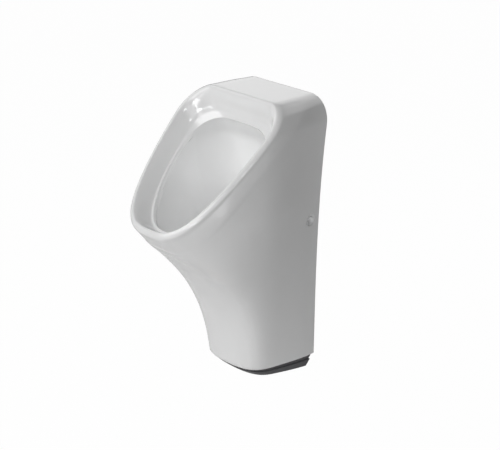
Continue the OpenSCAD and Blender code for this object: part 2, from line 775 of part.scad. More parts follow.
// A wedge ring is squeezed between its collar and its nut, and so grips the pipe
wedge_tip = 0.4;        // share of the collar's wall that is left at the ring's thin end
module wedge_ring(pipe, collar) {
    rotate_extrude() polygon([
        [pipe + fit_gap, 0], [collar, 0], [collar, wedge_h / 3],
        [mix(pipe, collar, wedge_tip), wedge_h], [pipe + fit_gap, wedge_h]
    ]);
}
nut_over = nut_h - nut_lip - wedge_h;      // length of a collar that its nut covers

module inlet_wedge_ring() {
    color(grey) hung() at_outlet(neck_top_z) wedge_ring(tail_r, neck_r);
}

module inlet_nut() {
    color(black) hung() at_outlet(neck_top_z - nut_over) ring_nut(neck_r + fit_gap, tail_r + fit_gap);
}

module outlet_wedge_ring() {
    color(grey) hung() to_wall(socket_end_d, pipe_z) wedge_ring(pipe_r, socket_r);
}

module outlet_nut() {
    color(black) hung() to_wall(socket_end_d + nut_over, pipe_z)
        ring_nut(socket_r + fit_gap, pipe_r + fit_gap);
}

// The pipe's bead rests against the wall, and its end is chamfered to enter the wall's socket
pipe_l = socket_stop_d + pipe_reach;
bead_end = socket_stop_d - pipe_bead_gap;
pipe_in_r = pipe_r - pipe_wall;
module outlet_pipe() {
    color(grey) hung() to_wall(socket_stop_d, pipe_z) rotate_extrude() polygon([
        [pipe_in_r, 0], [pipe_r, 0], [pipe_r, bead_end - pipe_bead_w],
        [pipe_bead_r, bead_end - pipe_bead_w], [pipe_bead_r, bead_end], [pipe_r, bead_end],
        [pipe_r, pipe_l - pipe_chamfer], [pipe_r - pipe_wall / 2, pipe_l], [pipe_in_r, pipe_l]
    ]);
}

// The cleaning plug is a cap that screws over its collar, with a bar to turn it by
plug_seat_z = chamber_z - clean_neck - seal_t;
plug_r = clean_out_r + collar_wall;
plug_cover = 8;         // length of the collar that the plug covers
plug_bar_l = 1.4 * plug_r;
module cleaning_plug() {
    color(plastic) hung() at_outlet(plug_seat_z - plug_t) {
        difference() {
            cylinder(r = plug_r, h = plug_t + seal_t + plug_cover);
            translate([0, 0, plug_t]) cylinder(r = clean_out_r + fit_gap, h = seal_t + plug_cover + slack);
            for (i = [1:nut_grips])
                rotate([0, 0, 360 * i / nut_grips]) translate([plug_r + grip_r / 2, 0, -slack])
                    cylinder(r = grip_r, h = plug_t + seal_t + plug_cover + 2 * slack, $fn = 24);
        }
        translate([-plug_bar_l / 2, -plug_bar / 2, -plug_bar]) cube([plug_bar_l, plug_bar, plug_bar]);
    }
}

module plug_seal() {
    color(black) hung() at_outlet(plug_seat_z) ring(clean_out_r - seal_inset / 2, clean_r - 2 * seal_inset, seal_t);
}

// Side fixing, from the inside out: weld nut, bracket, bush with its screw, cap
function side_out(d, z) = body_half([d, z]);
bush_face_x = side_out(side_hole_d - bush_flange_r, fix_z - bush_flange_r) - skirt_wall - bush_gap;
bracket_x = bush_face_x - bush_flange_t;
head_seat_x = bush_face_x + head_seat;
cap_x = side_out(side_hole_d, fix_z) - cap_sink - cap_t;
head_room_r = screw_head_r + head_gap;
bush_r = side_hole_r - fit_gap;
screw_end_x = bracket_x - bracket_t - weld_nut_h - screw_past;
wall_hole_x = wall_hole_span / 2;

module rounded_plate(w, h, t, r) {
    linear_extrude(t) difference() {
        square([w, h]);
        for (k = [0, 1]) translate([0, k * h]) mirror([0, k]) difference() {
            translate([-slack, -slack]) square(r + slack);
            translate([r, r]) circle(r = r);
        }
    }
}

// The right bracket: a flange on the wall and a flange along the ceramic's side
module wall_bracket() {
    difference() {
        union() {
            translate([bracket_x, 0, fix_z - bracket_h / 2]) rotate([90, 0, 0]) mirror([1, 0, 0])
                translate([flange_w, 0, 0]) mirror([1, 0, 0])
                    rounded_plate(flange_w, bracket_h, bracket_t, bracket_corner);
            translate([bracket_x - bracket_t, -bracket_d, fix_z - bracket_h / 2])
                rotate([90, 0, 90]) rounded_plate(bracket_d, bracket_h, bracket_t, bracket_corner);
            across(bracket_x - bracket_t - weld_nut_h, fix_z)
                cylinder(d = weld_nut_d, h = weld_nut_h + bracket_t / 2, $fn = 6);
        }
        across(screw_end_x - slack, fix_z) cylinder(r = screw_r + fit_gap, h = body_w);
        for (k = [-1, 1])
            translate([wall_hole_x, slack, fix_z + k * wall_hole_gap / 2]) rotate([90, 0, 0])
                cylinder(r = wall_hole_r, h = bracket_t + 2 * slack);
    }
}
module wall_bracket_left() {
    color(steel) hung() mirror([1, 0, 0]) wall_bracket();
}
module wall_bracket_right() {
    color(steel) hung() wall_bracket();
}

// A nylon bush lines each side hole, so that no steel bears on the ceramic
module side_bush() {
    difference() {
        union() {
            across(bracket_x, fix_z) cylinder(r = bush_flange_r, h = bush_flange_t);
            across(bracket_x, fix_z) cylinder(r = bush_r, h = cap_x - bracket_x);
        }
        across(bracket_x - slack, fix_z) cylinder(r = screw_r + fit_gap, h = body_w);
        across(head_seat_x, fix_z) cylinder(r = head_room_r, h = body_w);
    }
}
module side_bushes() {
    color(plastic) hung() for (k = [0, 1]) mirror([k, 0, 0]) side_bush();
}

module side_screw() {
    across(screw_end_x, fix_z) cylinder(r = screw_r, h = head_seat_x - screw_end_x + slack / 2);
    difference() {
        across(head_seat_x, fix_z) cylinder(r = screw_head_r, h = screw_head_h);
        across(head_seat_x + screw_head_h / 4, fix_z)
            cylinder(d = socket_af / cos(30), h = screw_head_h, $fn = 6);
    }
}
module side_screw_left() {
    color(steel) hung() mirror([1, 0, 0]) side_screw();
}
module side_screw_right() {
    color(steel) hung() side_screw();
}

// A cap closes each side hole, plugged into the bush and a little below the ceramic's face
cap_r = side_hole_r - cap_gap;
module side_cap() {
    plug_out_r = head_room_r - fit_gap;
    across(cap_x, fix_z) cylinder(r1 = cap_r, r2 = cap_r - cap_taper, h = cap_t);
    across(cap_x - cap_plug, fix_z) ring(plug_out_r, plug_out_r - cap_plug_wall, cap_plug + cap_t / 5);
}
module side_cap_left() {
    color(white) hung() mirror([1, 0, 0]) side_cap();
}
module side_cap_right() {
    color(white) hung() side_cap();
}

// Bottom cover: a tray that follows the foot's outline and its slope, then draws in to its floor
function cover_outline(s, wall) =
    let (
        side = cover_inset + cover_side_taper * s,
        back = mix([cover_inset / 2, foot_rise - cover_gap], [cover_back_taper, -cover_drop], s),
        nose = mix([foot_d - cover_inset, -cover_gap], [foot_d - cover_front_taper, -cover_drop], s),
        up = [0, s == 1 ? wall : 0]
    )
    body_outline([back + [wall, 0] + up, nose - [wall, 0] + up, foot_close, side, 0], wall);
module bottom_cover() {
    bend = [1, 0.8, 0.45, 0];
    color(black) hung() loft(concat(
        [for (s = bend) cover_outline(s, 0)],
        [for (i = [len(bend) - 1:-1:0]) cover_outline(bend[i], cover_wall)]
    ));
}

// Spring clips stand on the tray's floor and press on the skirt's inner walls
cover_floor_z = cover_wall - cover_drop;
function square_to(v) = [-v[1], v[0]] / norm(v);
function strip_side(path, t) =
    [for (i = [0:len(path) - 1])
        let (
            a = square_to(path[max(i, 1)] - path[max(i, 1) - 1]),
            b = square_to(path[min(i + 1, len(path) - 1)] - path[min(i, len(path) - 2)]),
            m = (a + b) / norm(a + b)
        )
        path[i] + m * t / 2 / (m * a)];
module strip(path, t) {
    there = strip_side(path, t);
    back = strip_side(path, -t);
    polygon(concat(there, [for (i = [len(back) - 1:-1:0]) back[i]]));
}
module cover_clip(d) {
    lip_z = foot_rise * (1 - d / foot_d);
    face_x = side_out(d + clip_w / 2, lip_z) - skirt_wall - clip_gap - clip_t / 2;
    top_z = cover_floor_z + clip_h;
    base_z = cover_floor_z + clip_t / 2;
    translate([0, clip_w / 2 - d, 0]) rotate([90, 0, 0]) linear_extrude(clip_w) strip([
        [face_x - clip_lean - clip_foot, base_z], [face_x - clip_lean, base_z],
        [face_x - 0.7 * clip_lean, base_z + 0.4 * clip_lean],
        [face_x, top_z - clip_tip_h], [face_x - clip_tip_in, top_z]
    ], clip_t);
}
module cover_clips() {
    color(steel) hung() for (k = [0, 1], d = [clip_rear_d, clip_front_d])
        mirror([k, 0, 0]) cover_clip(d);
}

ceramic_body();
waste_flange();
flange_seal();
under_seal();
lock_nut();
cartridge_body();
cartridge_o_ring();
strainer_grid();
membrane_ring();
hose_membrane();
trap_housing();
inlet_wedge_ring();
inlet_nut();
cleaning_plug();
plug_seal();
outlet_pipe();
outlet_wedge_ring();
outlet_nut();
wall_bracket_left();
wall_bracket_right();
side_bushes();
side_screw_left();
side_screw_right();
side_cap_left();
side_cap_right();
bottom_cover();
cover_clips();
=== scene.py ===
"""A wall-hung waterless urinal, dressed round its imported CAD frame."""
import math

import bmesh
import bpy
import numpy as np
from mathutils import Matrix, Vector
from mathutils.bvhtree import BVHTree


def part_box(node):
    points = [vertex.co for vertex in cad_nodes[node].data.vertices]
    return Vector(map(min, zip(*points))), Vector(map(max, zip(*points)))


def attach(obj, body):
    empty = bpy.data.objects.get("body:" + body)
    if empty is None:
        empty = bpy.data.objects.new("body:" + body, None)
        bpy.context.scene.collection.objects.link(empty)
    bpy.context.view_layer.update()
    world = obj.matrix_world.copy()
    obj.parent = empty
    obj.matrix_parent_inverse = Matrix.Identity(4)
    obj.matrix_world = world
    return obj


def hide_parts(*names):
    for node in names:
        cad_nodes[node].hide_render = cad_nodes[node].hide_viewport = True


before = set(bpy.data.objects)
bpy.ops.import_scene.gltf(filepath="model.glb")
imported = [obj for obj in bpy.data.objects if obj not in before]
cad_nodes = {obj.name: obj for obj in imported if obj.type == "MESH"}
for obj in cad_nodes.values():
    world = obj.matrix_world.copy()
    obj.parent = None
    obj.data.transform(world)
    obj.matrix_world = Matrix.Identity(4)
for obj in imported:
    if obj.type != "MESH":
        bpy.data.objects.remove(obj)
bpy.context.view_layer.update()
scene = bpy.context.scene
scene.view_settings.view_transform = "Standard"

# The camera stands where the photograph was taken: to the right of the middle and a little above,
# almost three metres off, with a long lens. The shift puts the object left of the frame's middle.
VIEW_AZIMUTH = math.radians(50.10)
VIEW_ELEVATION = math.radians(19.97)
VIEW_DISTANCE = 2.9175
FIX_HEIGHT = -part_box("ceramic_body")[0].z
AIM = Vector((0, -0.170, 0.300 - FIX_HEIGHT))
FOCAL_PIXELS = 1505.45
PHOTO_WIDTH = 500
AIM_PIXEL = (216.7, 224.5)
PHOTO_MIDDLE = (250, 225)

camera_data = bpy.data.cameras.new("camera")
camera = bpy.data.objects.new("camera", camera_data)
scene.collection.objects.link(camera)
outward = Vector((math.sin(VIEW_AZIMUTH) * math.cos(VIEW_ELEVATION),
                  -math.cos(VIEW_AZIMUTH) * math.cos(VIEW_ELEVATION), math.sin(VIEW_ELEVATION)))
camera.location = AIM + VIEW_DISTANCE * outward
camera.rotation_euler = outward.to_track_quat("Z", "Y").to_euler()
camera_data.sensor_width = 36
camera_data.lens = FOCAL_PIXELS / PHOTO_WIDTH * camera_data.sensor_width
camera_data.shift_x = (PHOTO_MIDDLE[0] - AIM_PIXEL[0]) / PHOTO_WIDTH
camera_data.shift_y = (AIM_PIXEL[1] - PHOTO_MIDDLE[1]) / PHOTO_WIDTH
scene.camera = camera

# Ceramic shell: one cast piece of vitreous china, glazed white all over except on the edges that
# were stood on in the kiln and ground flat for the wall. It is slip cast in plaster moulds, so
# each surface runs into the next in a soft round. All of its sizes are in millimetres.
shell_low, shell_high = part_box("ceramic_body")
BODY_D = -shell_low.y * 1000
BODY_H = (shell_high.z - shell_low.z) * 1000
BODY_W, FULL_W_Z, BLEND_D = 291.8, 344, 170
FOOT_W, FOOT_FRONT_W, FOOT_D, FOOT_RISE = 208, 153, 147.5, 13
TOP_W, TOP_D, TOP_EDGE_R, EDGE_R = 265, 103, 53, 2.5
FRONT_RISE, FRONT_RUN_UP, FRONT_RUN_SLOPE = 199, 30, math.radians(66)
RIM_LOW_Z, RIM_R = 321, 10.5
BAND_W, BAND_FLARE, BAND_SWELL, BAND_SWELL_LEFT = 22, 3, 18, 0.2


def point(*values):
    return np.array(values, float)


def share(t):
    return np.clip(t, 0, 1)


def ease(t):
    return share(t) ** 2 * (3 - 2 * share(t))


def mix(a, b, t):
    return a + (b - a) * t


def curve(p, t):
    return p[0] * (1 - t) ** 3 + 3 * p[1] * t * (1 - t) ** 2 + 3 * p[2] * t * t * (1 - t) + p[3] * t ** 3


def heading(p, t):
    v = (p[1] - p[0]) * (1 - t) ** 2 + 2 * (p[2] - p[1]) * t * (1 - t) + (p[3] - p[2]) * t * t
    return v / np.linalg.norm(v)


# The side view in (depth, height): the collar's plane runs down and forwards, and its face looks proud
rim_top = point(TOP_D, BODY_H - RIM_R)
rim_low = point(BODY_D - RIM_R, RIM_LOW_Z)
down = (rim_low - rim_top) / np.linalg.norm(rim_low - rim_top)
proud = point(-down[1], down[0])
crest_top = rim_top + RIM_R * proud
crest_low = rim_low + RIM_R * proud
crease_low = rim_low + RIM_R * down - BAND_W * proud
run_up = FRONT_RUN_UP * point(math.cos(FRONT_RUN_SLOPE), math.sin(FRONT_RUN_SLOPE))
front = [point(FOOT_D, 0), point(FOOT_D, FRONT_RISE), crease_low - run_up, crease_low]
band_top_d = rim_top[0] - RIM_R * down[0] - BAND_W * (proud[0] - proud[1] * down[0] / down[1])

# How a section closes to its front: the share of its length that it takes, and its two powers
FOOT_CLOSE = point(0.505, 4.9, 2.4)
MIDDLE_CLOSE = point(0.693, 4.5, 5.85)
COLLAR_CLOSE = point(0.918, 1.5, 3.39)
CREASE_CLOSE = mix(COLLAR_CLOSE, MIDDLE_CLOSE, 0.14)
EARLY_TURN = 0.85


def closing(t):
    """How the section at t closes, from the foot (0) through the middle to the crease (1)."""
    if t < 0.5:
        return mix(FOOT_CLOSE, MIDDLE_CLOSE, 2 * t)
    k = 2 * t - 1
    return mix(MIDDLE_CLOSE, CREASE_CLOSE, k + EARLY_TURN * k * k * (1 - k))


def close_run(angle, close):
    return (1 - np.cos(angle) ** close[2]) ** (1 / close[1])


BACK_STEPS, CORNER_STEPS, SIDE_STEPS, CLOSE_STEPS = 12, 16, 12, 52
HALF_STEPS = BACK_STEPS + CORNER_STEPS + SIDE_STEPS + CLOSE_STEPS
CORNER_MOST, SIDE_LEAST = 0.3, 0.15


def body_runs(length, close):
    """Distances along half a section: its back, the round corner, the side and the closing front."""
    corner = min(-TOP_EDGE_R / down[1], CORNER_MOST * length)
    side_end = max(length * (1 - close[0]), corner + SIDE_LEAST * length)
    start = (side_end - length * (1 - close[0])) / (length * close[0])
    angle = np.arccos((1 - start ** close[1]) ** (1 / close[2]))
    turns = np.linspace(angle, np.pi / 2, CLOSE_STEPS + 1)[1:]
    return np.concatenate([
        np.zeros(BACK_STEPS + 1),
        corner * (1 - np.cos(np.linspace(0, np.pi / 2, CORNER_STEPS + 1)[1:])),
        np.linspace(corner, side_end, SIDE_STEPS + 1)[1:],
        length * (1 - close[0] + close[0] * close_run(turns, close))])


def body_half(depth, height):
    wall = FOOT_W / 2 + (TOP_W - FOOT_W) / 2 * (np.maximum(0, height) / BODY_H) ** 3
    ahead = mix(FOOT_FRONT_W, BODY_W, share(height / FULL_W_Z)) / 2
    return mix(wall, ahead, ease(depth / BLEND_D))


def mirrored(half):
    return np.concatenate([half, half[-2:0:-1] * (-1, 1, 1)])


def both_sides(x, depth, height):
    return mirrored(np.stack([x, -depth, height], 1))


def body_ring(back, nose, close, narrow=0.0, swell=0.0, inset=0.0, wall_edge=0.0, nose_swell=None):
    """One tilted section of the body, from its back end to its nose, both in (depth, height)."""
    length = np.linalg.norm(nose - back)
    along = (nose - back) / length
    runs = body_runs(length, close)
    line = back + runs[:, None] * along
    swells = np.where(2 * runs < length, swell, swell if nose_swell is None else nose_swell)
    shift = swells * (2 * runs / length - 1) ** 2
    turn = ease(2 * runs / length)[:, None]
    at = line - shift[:, None] * mix(point(1 / proud[0], 0), proud, turn)
    edge = TOP_EDGE_R - inset
    over = np.clip(at[:, 1] - (BODY_H - inset - edge), 0, edge)
    s = share((runs - length * (1 - close[0])) / (length * close[0]))
    width = np.maximum(0, 1 - s ** close[1]) ** (1 / close[2])
    x = (body_half(line[:, 0], line[:, 1]) - inset - narrow) * width - edge + np.sqrt(edge ** 2 - over ** 2)
    if wall_edge:
        near = np.clip(abs(wall_edge) - np.maximum(0, at[:, 0]), 0, abs(wall_edge))
        x = x - np.sign(wall_edge) * (abs(wall_edge) - np.sqrt(wall_edge ** 2 - near ** 2))
    x = np.maximum(0, x) * np.minimum(1, np.arange(HALF_STEPS + 1) / BACK_STEPS)
    return both_sides(x, at[:, 0], at[:, 1])


WALL_SHARE = 0.829
SKIRT_WALL, FRONT_WALL, THICKENS_FROM, THICKENS_OVER = 12, 22, 0.45, 0.2
PAST_WALL = 2.0


def body_back(t, inset):
    """The back end of a section: up the wall, round the top edge and forward along the top."""
    rise = FOOT_RISE * (1 - t) ** 2
    k = (t - WALL_SHARE) / (1 - WALL_SHARE)
    start = -PAST_WALL if inset else 0.0
    if t < WALL_SHARE:
        back = point(start, rise + (BODY_H - inset - rise) * t / WALL_SHARE)
    else:
        back = point(mix(start, band_top_d, k), BODY_H - inset)
    past = back[0] - back[1] + BODY_H
    if not inset and abs(past) < EDGE_R:
        a = (past + EDGE_R) / (2 * EDGE_R) * np.pi / 2
        back = point(EDGE_R * (1 - math.cos(a)), BODY_H - EDGE_R * (1 - math.sin(a)))
    return back


def body_section(t, inset=0.0):
    up = heading(front, t)
    wall = mix(inset, FRONT_WALL, ease((t - THICKENS_FROM) / THICKENS_OVER)) if inset else 0.0
    nose = curve(front, t) - wall * point(up[1], -up[0])
    swell = BAND_SWELL * share((t - WALL_SHARE) / (1 - WALL_SHARE))
    return body_ring(body_back(t, inset), nose, closing(t), 0, swell, inset, -EDGE_R if inset else EDGE_R,
                     BAND_SWELL * ease(2 * t - 1))


def foot_edge_rings(inset):
    """The rounded lower edge: outwards for the outside, flared for the inside."""
    up = heading(front, 0)
    rings = []
    for a in np.radians([90, 67.5, 45, 22.5]):
        pull = EDGE_R * (1 - math.cos(a))
        lift = EDGE_R * (1 - math.sin(a))
        extra = inset - pull if inset else pull
        nose = curve(front, 0) - extra * point(up[1], -up[0])
        ring = body_ring(body_back(0, inset), nose, closing(0), 0, 0, extra, -EDGE_R if inset else EDGE_R)
        rings.append(ring + (0, 0, lift))
    return rings


def section_shares(wall_steps, round_steps, top_steps, edge_steps):
    """Where the sections are: up the wall, past the top's round, over the wall edge, along the top."""
    round_share = WALL_SHARE * (BODY_H - TOP_EDGE_R) / BODY_H
    lower = np.linspace(0, round_share, wall_steps + 1)[1:]
    upper = mix(round_share, WALL_SHARE, np.sin(np.linspace(0, np.pi / 2, round_steps + 1)[1:-1]))
    corner = WALL_SHARE * (1 + np.linspace(-EDGE_R, EDGE_R, edge_steps) / BODY_H)
    top = np.linspace(WALL_SHARE, 1, top_steps + 1)[1:]
    return np.unique(np.concatenate([lower, upper, corner, top]).round(5))


def band_ring(k):
    """The band between the crease (k = 0) and the collar's outer edge (k = 1)."""
    back = point(mix(band_top_d, rim_top[0] - RIM_R * down[0], k), BODY_H)
    return body_ring(back, mix(crease_low, rim_low + RIM_R * down, k), mix(CREASE_CLOSE, COLLAR_CLOSE, k),
                     BAND_FLARE * k, BAND_SWELL * (1 - (1 - BAND_SWELL_LEFT) * k))


SWELL_ENDS_AT = math.radians(22.5)


def rim_ring(a):
    """Round the collar's outer edge, from its side (a = 0) to its crest (a = 90 degrees)."""
    flat_until = math.atan2(proud[1], -down[1])
    if a < flat_until:
        back = point(rim_top[0] - RIM_R * down[0] * (1 - a / flat_until), BODY_H)
    else:
        back = rim_top + RIM_R * (math.sin(a) * proud - math.cos(a) * down)
    nose = rim_low + RIM_R * (math.sin(a) * proud + math.cos(a) * down)
    swell = BAND_SWELL * BAND_SWELL_LEFT * max(0.0, 1 - a / SWELL_ENDS_AT)
    return body_ring(back, nose, COLLAR_CLOSE, BAND_FLARE + RIM_R * (1 - math.cos(a)), swell)


LIFT_TURN, LIFT_POWER = 0.28, 1.2


def lift_at(u):
    return (1 - u) - np.maximum(0, 1 - u / LIFT_TURN) ** LIFT_POWER


def bowl_ring(back, nose, half_width, back_close, front_close, lift=0.0):
    """One section of the lip or the bowl, which closes at both ends; lift bends its back end proud."""
    length = np.linalg.norm(nose - back)
    along = (nose - back) / length
    arc = BACK_STEPS + CORNER_STEPS
    back_turns = np.linspace(np.pi / 2, 0, arc + 1)
    front_turns = np.linspace(0, np.pi / 2, CLOSE_STEPS + 1)[1:]
    back_length, front_length = length * back_close[0], length * front_close[0]
    runs = np.concatenate([
        back_length * (1 - close_run(back_turns, back_close)),
        np.linspace(back_length, length - front_length, SIDE_STEPS + 1)[1:],
        length - front_length + front_length * close_run(front_turns, front_close)])
    widths = np.concatenate([np.cos(back_turns), np.ones(SIDE_STEPS), np.cos(front_turns)])
    at = back + runs[:, None] * along + (lift_at(runs / length) * lift)[:, None] * proud
    return both_sides(half_width * widths, at[:, 0], at[:, 1])


LIP_DEPTH, LIP_W, LIP_TOP_IN, LIP_LOW_IN, BEAD_H = 40, 202.5, 36, 20, 2
LIP_BACK_CLOSE, LIP_FRONT_CLOSE = point(0.2, 1.6, 3.65), point(0.655, 1.5, 2.54)
lip_top = crest_top + LIP_TOP_IN * down - LIP_DEPTH * proud
lip_low = crest_low - LIP_LOW_IN * down - LIP_DEPTH * proud


def lip_ring(grow, deeper):
    return bowl_ring(lip_top - grow * down - deeper * proud, lip_low + grow * down - deeper * proud,
                     LIP_W / 2 + grow, LIP_BACK_CLOSE, LIP_FRONT_CLOSE)


# The funnel's section: the way across it from crest to lip, and the share of its depth reached there
BEADED = np.array([
    (0, 0), (0.05, 0.01), (0.12, 0.05), (0.24, 0.19), (0.38, 0.42), (0.50, 0.63), (0.60, 0.78),
    (0.68, 0.855), (0.77, 0.885), (0.88, 0.885 - BEAD_H / LIP_DEPTH / 4), (0.96, 0.91), (1, 1)])
PLAIN = BEADED.copy()
PLAIN[6:, 1] = (0.75, 0.83, 0.89, 0.945, 0.985, 1)


def smooth_through(knots, places):
    """A natural cubic spline through knots, read at places counted in knots."""
    n = len(knots)
    a = np.eye(n)
    for i in range(1, n - 1):
        a[i, i - 1:i + 2] = (1, 4, 1)
    rise = np.zeros_like(knots)
    rise[1:-1] = 6 * (knots[2:] - 2 * knots[1:-1] + knots[:-2])
    bend = np.linalg.solve(a, rise)
    i = np.minimum(places.astype(int), n - 2)
    u = (places - i)[:, None]
    return (knots[i] * (1 - u) + knots[i + 1] * u
            + ((1 - u) ** 3 - (1 - u)) * bend[i] / 6 + (u ** 3 - u) * bend[i + 1] / 6)


EVEN_REACH, EVEN_SPREAD = 15, 6


def respaced(ring, amount=1.0):
    """Slides a ring's points along it until neighbouring steps are alike, so that a blend has no folds."""
    half = ring[:HALF_STEPS + 1]
    steps = np.linalg.norm(np.diff(half, axis=0), axis=1)
    length = np.concatenate([[0], np.cumsum(steps)])
    weights = np.exp(-0.5 * (np.arange(-EVEN_REACH, EVEN_REACH + 1) / EVEN_SPREAD) ** 2)
    even = np.convolve(np.pad(steps, EVEN_REACH, mode="reflect"), weights, "valid")
    target = mix(length, np.concatenate([[0], np.cumsum(even)]) * length[-1] / even.sum(), amount)
    moved = smooth_through(half, np.interp(target, length, np.arange(HALF_STEPS + 1.0)))
    moved[[0, -1]] = half[[0, -1]]
    return mirrored(moved)


# The bead shows along the sides and the front of the lip and runs out at its top
BEAD_ENDS_BELOW, BEAD_RUN_OUT = 12, 90
crest_ring, lip = respaced(rim_ring(math.pi / 2)), respaced(lip_ring(0, 0))
bead_share = ease((lip[:, 2].max() - BEAD_ENDS_BELOW - lip[:, 2]) / BEAD_RUN_OUT)


def funnel_ring(s, beaded, plain):
    drop = LIP_DEPTH * (s - mix(plain, beaded, bead_share))
    return mix(crest_ring, lip, s) + drop[:, None] * point(0, -proud[0], proud[1])


# The bowl's back and front in the side view, from under the lip to the round floor at its outlet
FLOOR_Z, FLOOR_R, OUTLET_D, BOWL_WALL = 178, 38, 92, 11
LEDGE_Z, LEDGE_D, LEDGE_BEND, UNDERCUT = 457, 78, 41, 6
FLOOR_CLOSE = point(0.42, 2, 2)
BELLY_POWER, BEND_POWER = 2.2, 1.5
ledge = point(LEDGE_D, LEDGE_Z)
under_lip = lip_low - (UNDERCUT + 2) * proud + 4 * down
floor_back, floor_front = point(OUTLET_D - FLOOR_R, FLOOR_Z), point(OUTLET_D + FLOOR_R, FLOOR_Z)
bowl_back = [ledge, ledge - (18, 77), floor_back - (22, 0), floor_back]
bowl_front = [under_lip, under_lip - (21, 43), floor_front + (45, 0), floor_front]


def bowl_wall_ring(s, grow=0.0):
    back_way, front_way = heading(bowl_back, s), heading(bowl_front, s)
    back = curve(bowl_back, s) + grow * point(back_way[1], -back_way[0])
    nose = curve(bowl_front, s) + grow * point(-front_way[1], front_way[0])
    half_width = mix(FLOOR_R, LIP_W / 2 + UNDERCUT, 1 - s ** BELLY_POWER) + grow
    return bowl_ring(back, nose, half_width, mix(LIP_BACK_CLOSE, FLOOR_CLOSE, s),
                     mix(LIP_FRONT_CLOSE, FLOOR_CLOSE, s), LEDGE_BEND * (1 - s) ** BEND_POWER)


def soften(rings, first, last, passes):
    """Rounds the creases between rings first and last by sliding each ring towards its neighbours."""
    for _ in range(passes):
        before = np.linalg.norm(rings[1:-1] - rings[:-2], axis=2, keepdims=True) + 1e-6
        after = np.linalg.norm(rings[2:] - rings[1:-1], axis=2, keepdims=True) + 1e-6
        between = (rings[:-2] / before + rings[2:] / after) / (1 / before + 1 / after)
        moved = rings[1:-1] + 0.5 * (between - rings[1:-1])
        rings[first:last] = moved[first - 1:last - 1]
    return rings


def eased_front(rings, first, last, reach, fade_in=8, fade_out=6):
    """Evens the skin between rings first and last over this length, but not round the back of the rings."""
    step = np.linalg.norm(np.diff(rings, axis=0), axis=2)
    along = np.concatenate([np.zeros((1, rings.shape[1])), np.cumsum(step, axis=0)])
    spans = np.gradient(along, axis=0)
    columns = np.abs((np.arange(rings.shape[1]) + HALF_STEPS) % rings.shape[1] - HALF_STEPS)
    ahead = ease((columns - BACK_STEPS - CORNER_STEPS) / SIDE_STEPS)
    evened = rings.copy()
    for i in range(first, last):
        weights = spans * np.exp(-0.5 * ((along - along[i]) / reach) ** 2)
        mean = (weights[..., None] * rings).sum(0) / weights.sum(0)[:, None]
        amount = ahead * ease((i - first) / fade_in) * ease((last - i) / fade_out)
        evened[i] = mix(rings[i], mean, amount[:, None])
    return evened


BAND_RINGS, RIM_RINGS, FUNNEL_RINGS, LEDGE_RINGS, BOWL_RINGS = 8, 12, 44, 11, 44
EASED_RINGS, EASED_REACH = 48, 11


def shares(count):
    return np.linspace(0, 1, count + 1)[1:]


outside = foot_edge_rings(0)
outside += [body_section(t)
            for t in section_shares(wall_steps=56, round_steps=16, top_steps=11, edge_steps=5)]
crease_at = len(outside) - 1
outside += [band_ring(k) for k in shares(BAND_RINGS)]
outside += [respaced(rim_ring(k * math.pi / 2), k) for k in shares(RIM_RINGS)]
places = shares(FUNNEL_RINGS) * (len(BEADED) - 1)
outside += [funnel_ring(*beaded, plain[1])
            for beaded, plain in zip(smooth_through(BEADED, places), smooth_through(PLAIN, places))]
lip_at = len(outside) - 1
under = respaced(lip_ring(1, 5))
ledge_ring = respaced(bowl_wall_ring(0))
outside += [respaced(lip_ring(0.4, 2)), under]
outside += [mix(under, ledge_ring, k) for k in shares(LEDGE_RINGS)]
ledge_at = len(outside) - 1
outside += [respaced(bowl_wall_ring(s)) for s in shares(BOWL_RINGS)]
outside = eased_front(np.array(outside), crease_at - EASED_RINGS, crease_at, EASED_REACH)
for at, passes in ((crease_at, 2), (lip_at, 2), (ledge_at, 3)):
    outside = soften(outside, at - 2, at + 3, passes)

# The hollow starts below the foot and behind the wall's face, so that it cuts clean through them
hollow = foot_edge_rings(SKIRT_WALL)
hollow.insert(0, hollow[0] * (1, 1, 0) - (0, 0, 1))
hollow += [body_section(t, SKIRT_WALL)
           for t in section_shares(wall_steps=28, round_steps=10, top_steps=8, edge_steps=3)]
hollow.append(lip_ring(0, BOWL_WALL + 3))
bowl_skin = [bowl_wall_ring(s, BOWL_WALL) for s in np.linspace(1, 0, 25)]
bowl_skin += [lip_ring(BOWL_WALL, 0), lip_ring(BOWL_WALL, -LIP_DEPTH / 2)]


def object_of(name, verts, faces):
    """A linked object of these points and faces, with its normals outwards."""
    mesh = bpy.data.meshes.new(name)
    mesh.from_pydata(verts, [], faces)
    skin = bmesh.new()
    skin.from_mesh(mesh)
    bmesh.ops.recalc_face_normals(skin, faces=skin.faces)
    skin.to_mesh(mesh)
    skin.free()
    made = bpy.data.objects.new(name, mesh)
    scene.collection.objects.link(made)
    return made


def joined_rings(count, around, looped):
    """Faces between rings of points; the last joins the first in a loop, or else fans close the ends."""
    faces = []
    for k in range(count if looped else count - 1):
        here, after = k * around, (k + 1) % count * around
        faces += [(here + i, here + (i + 1) % around, after + (i + 1) % around, after + i)
                  for i in range(around)]
    if not looped:
        low, last = count * around, (count - 1) * around
        for i in range(around):
            j = (i + 1) % around
            faces += [(low, j, i), (low + 1, last + i, last + j)]
    return faces


def lofted(name, rings, looped=False):
    rings = np.array(rings)
    verts = rings.reshape(-1, 3)
    if not looped:
        verts = np.concatenate([verts, [rings[0].mean(0), rings[-1].mean(0)]])
    verts = (verts - (0, 0, FIX_HEIGHT * 1000)) * 0.001
    return object_of(name, verts.tolist(), joined_rings(*rings.shape[:2], looped))


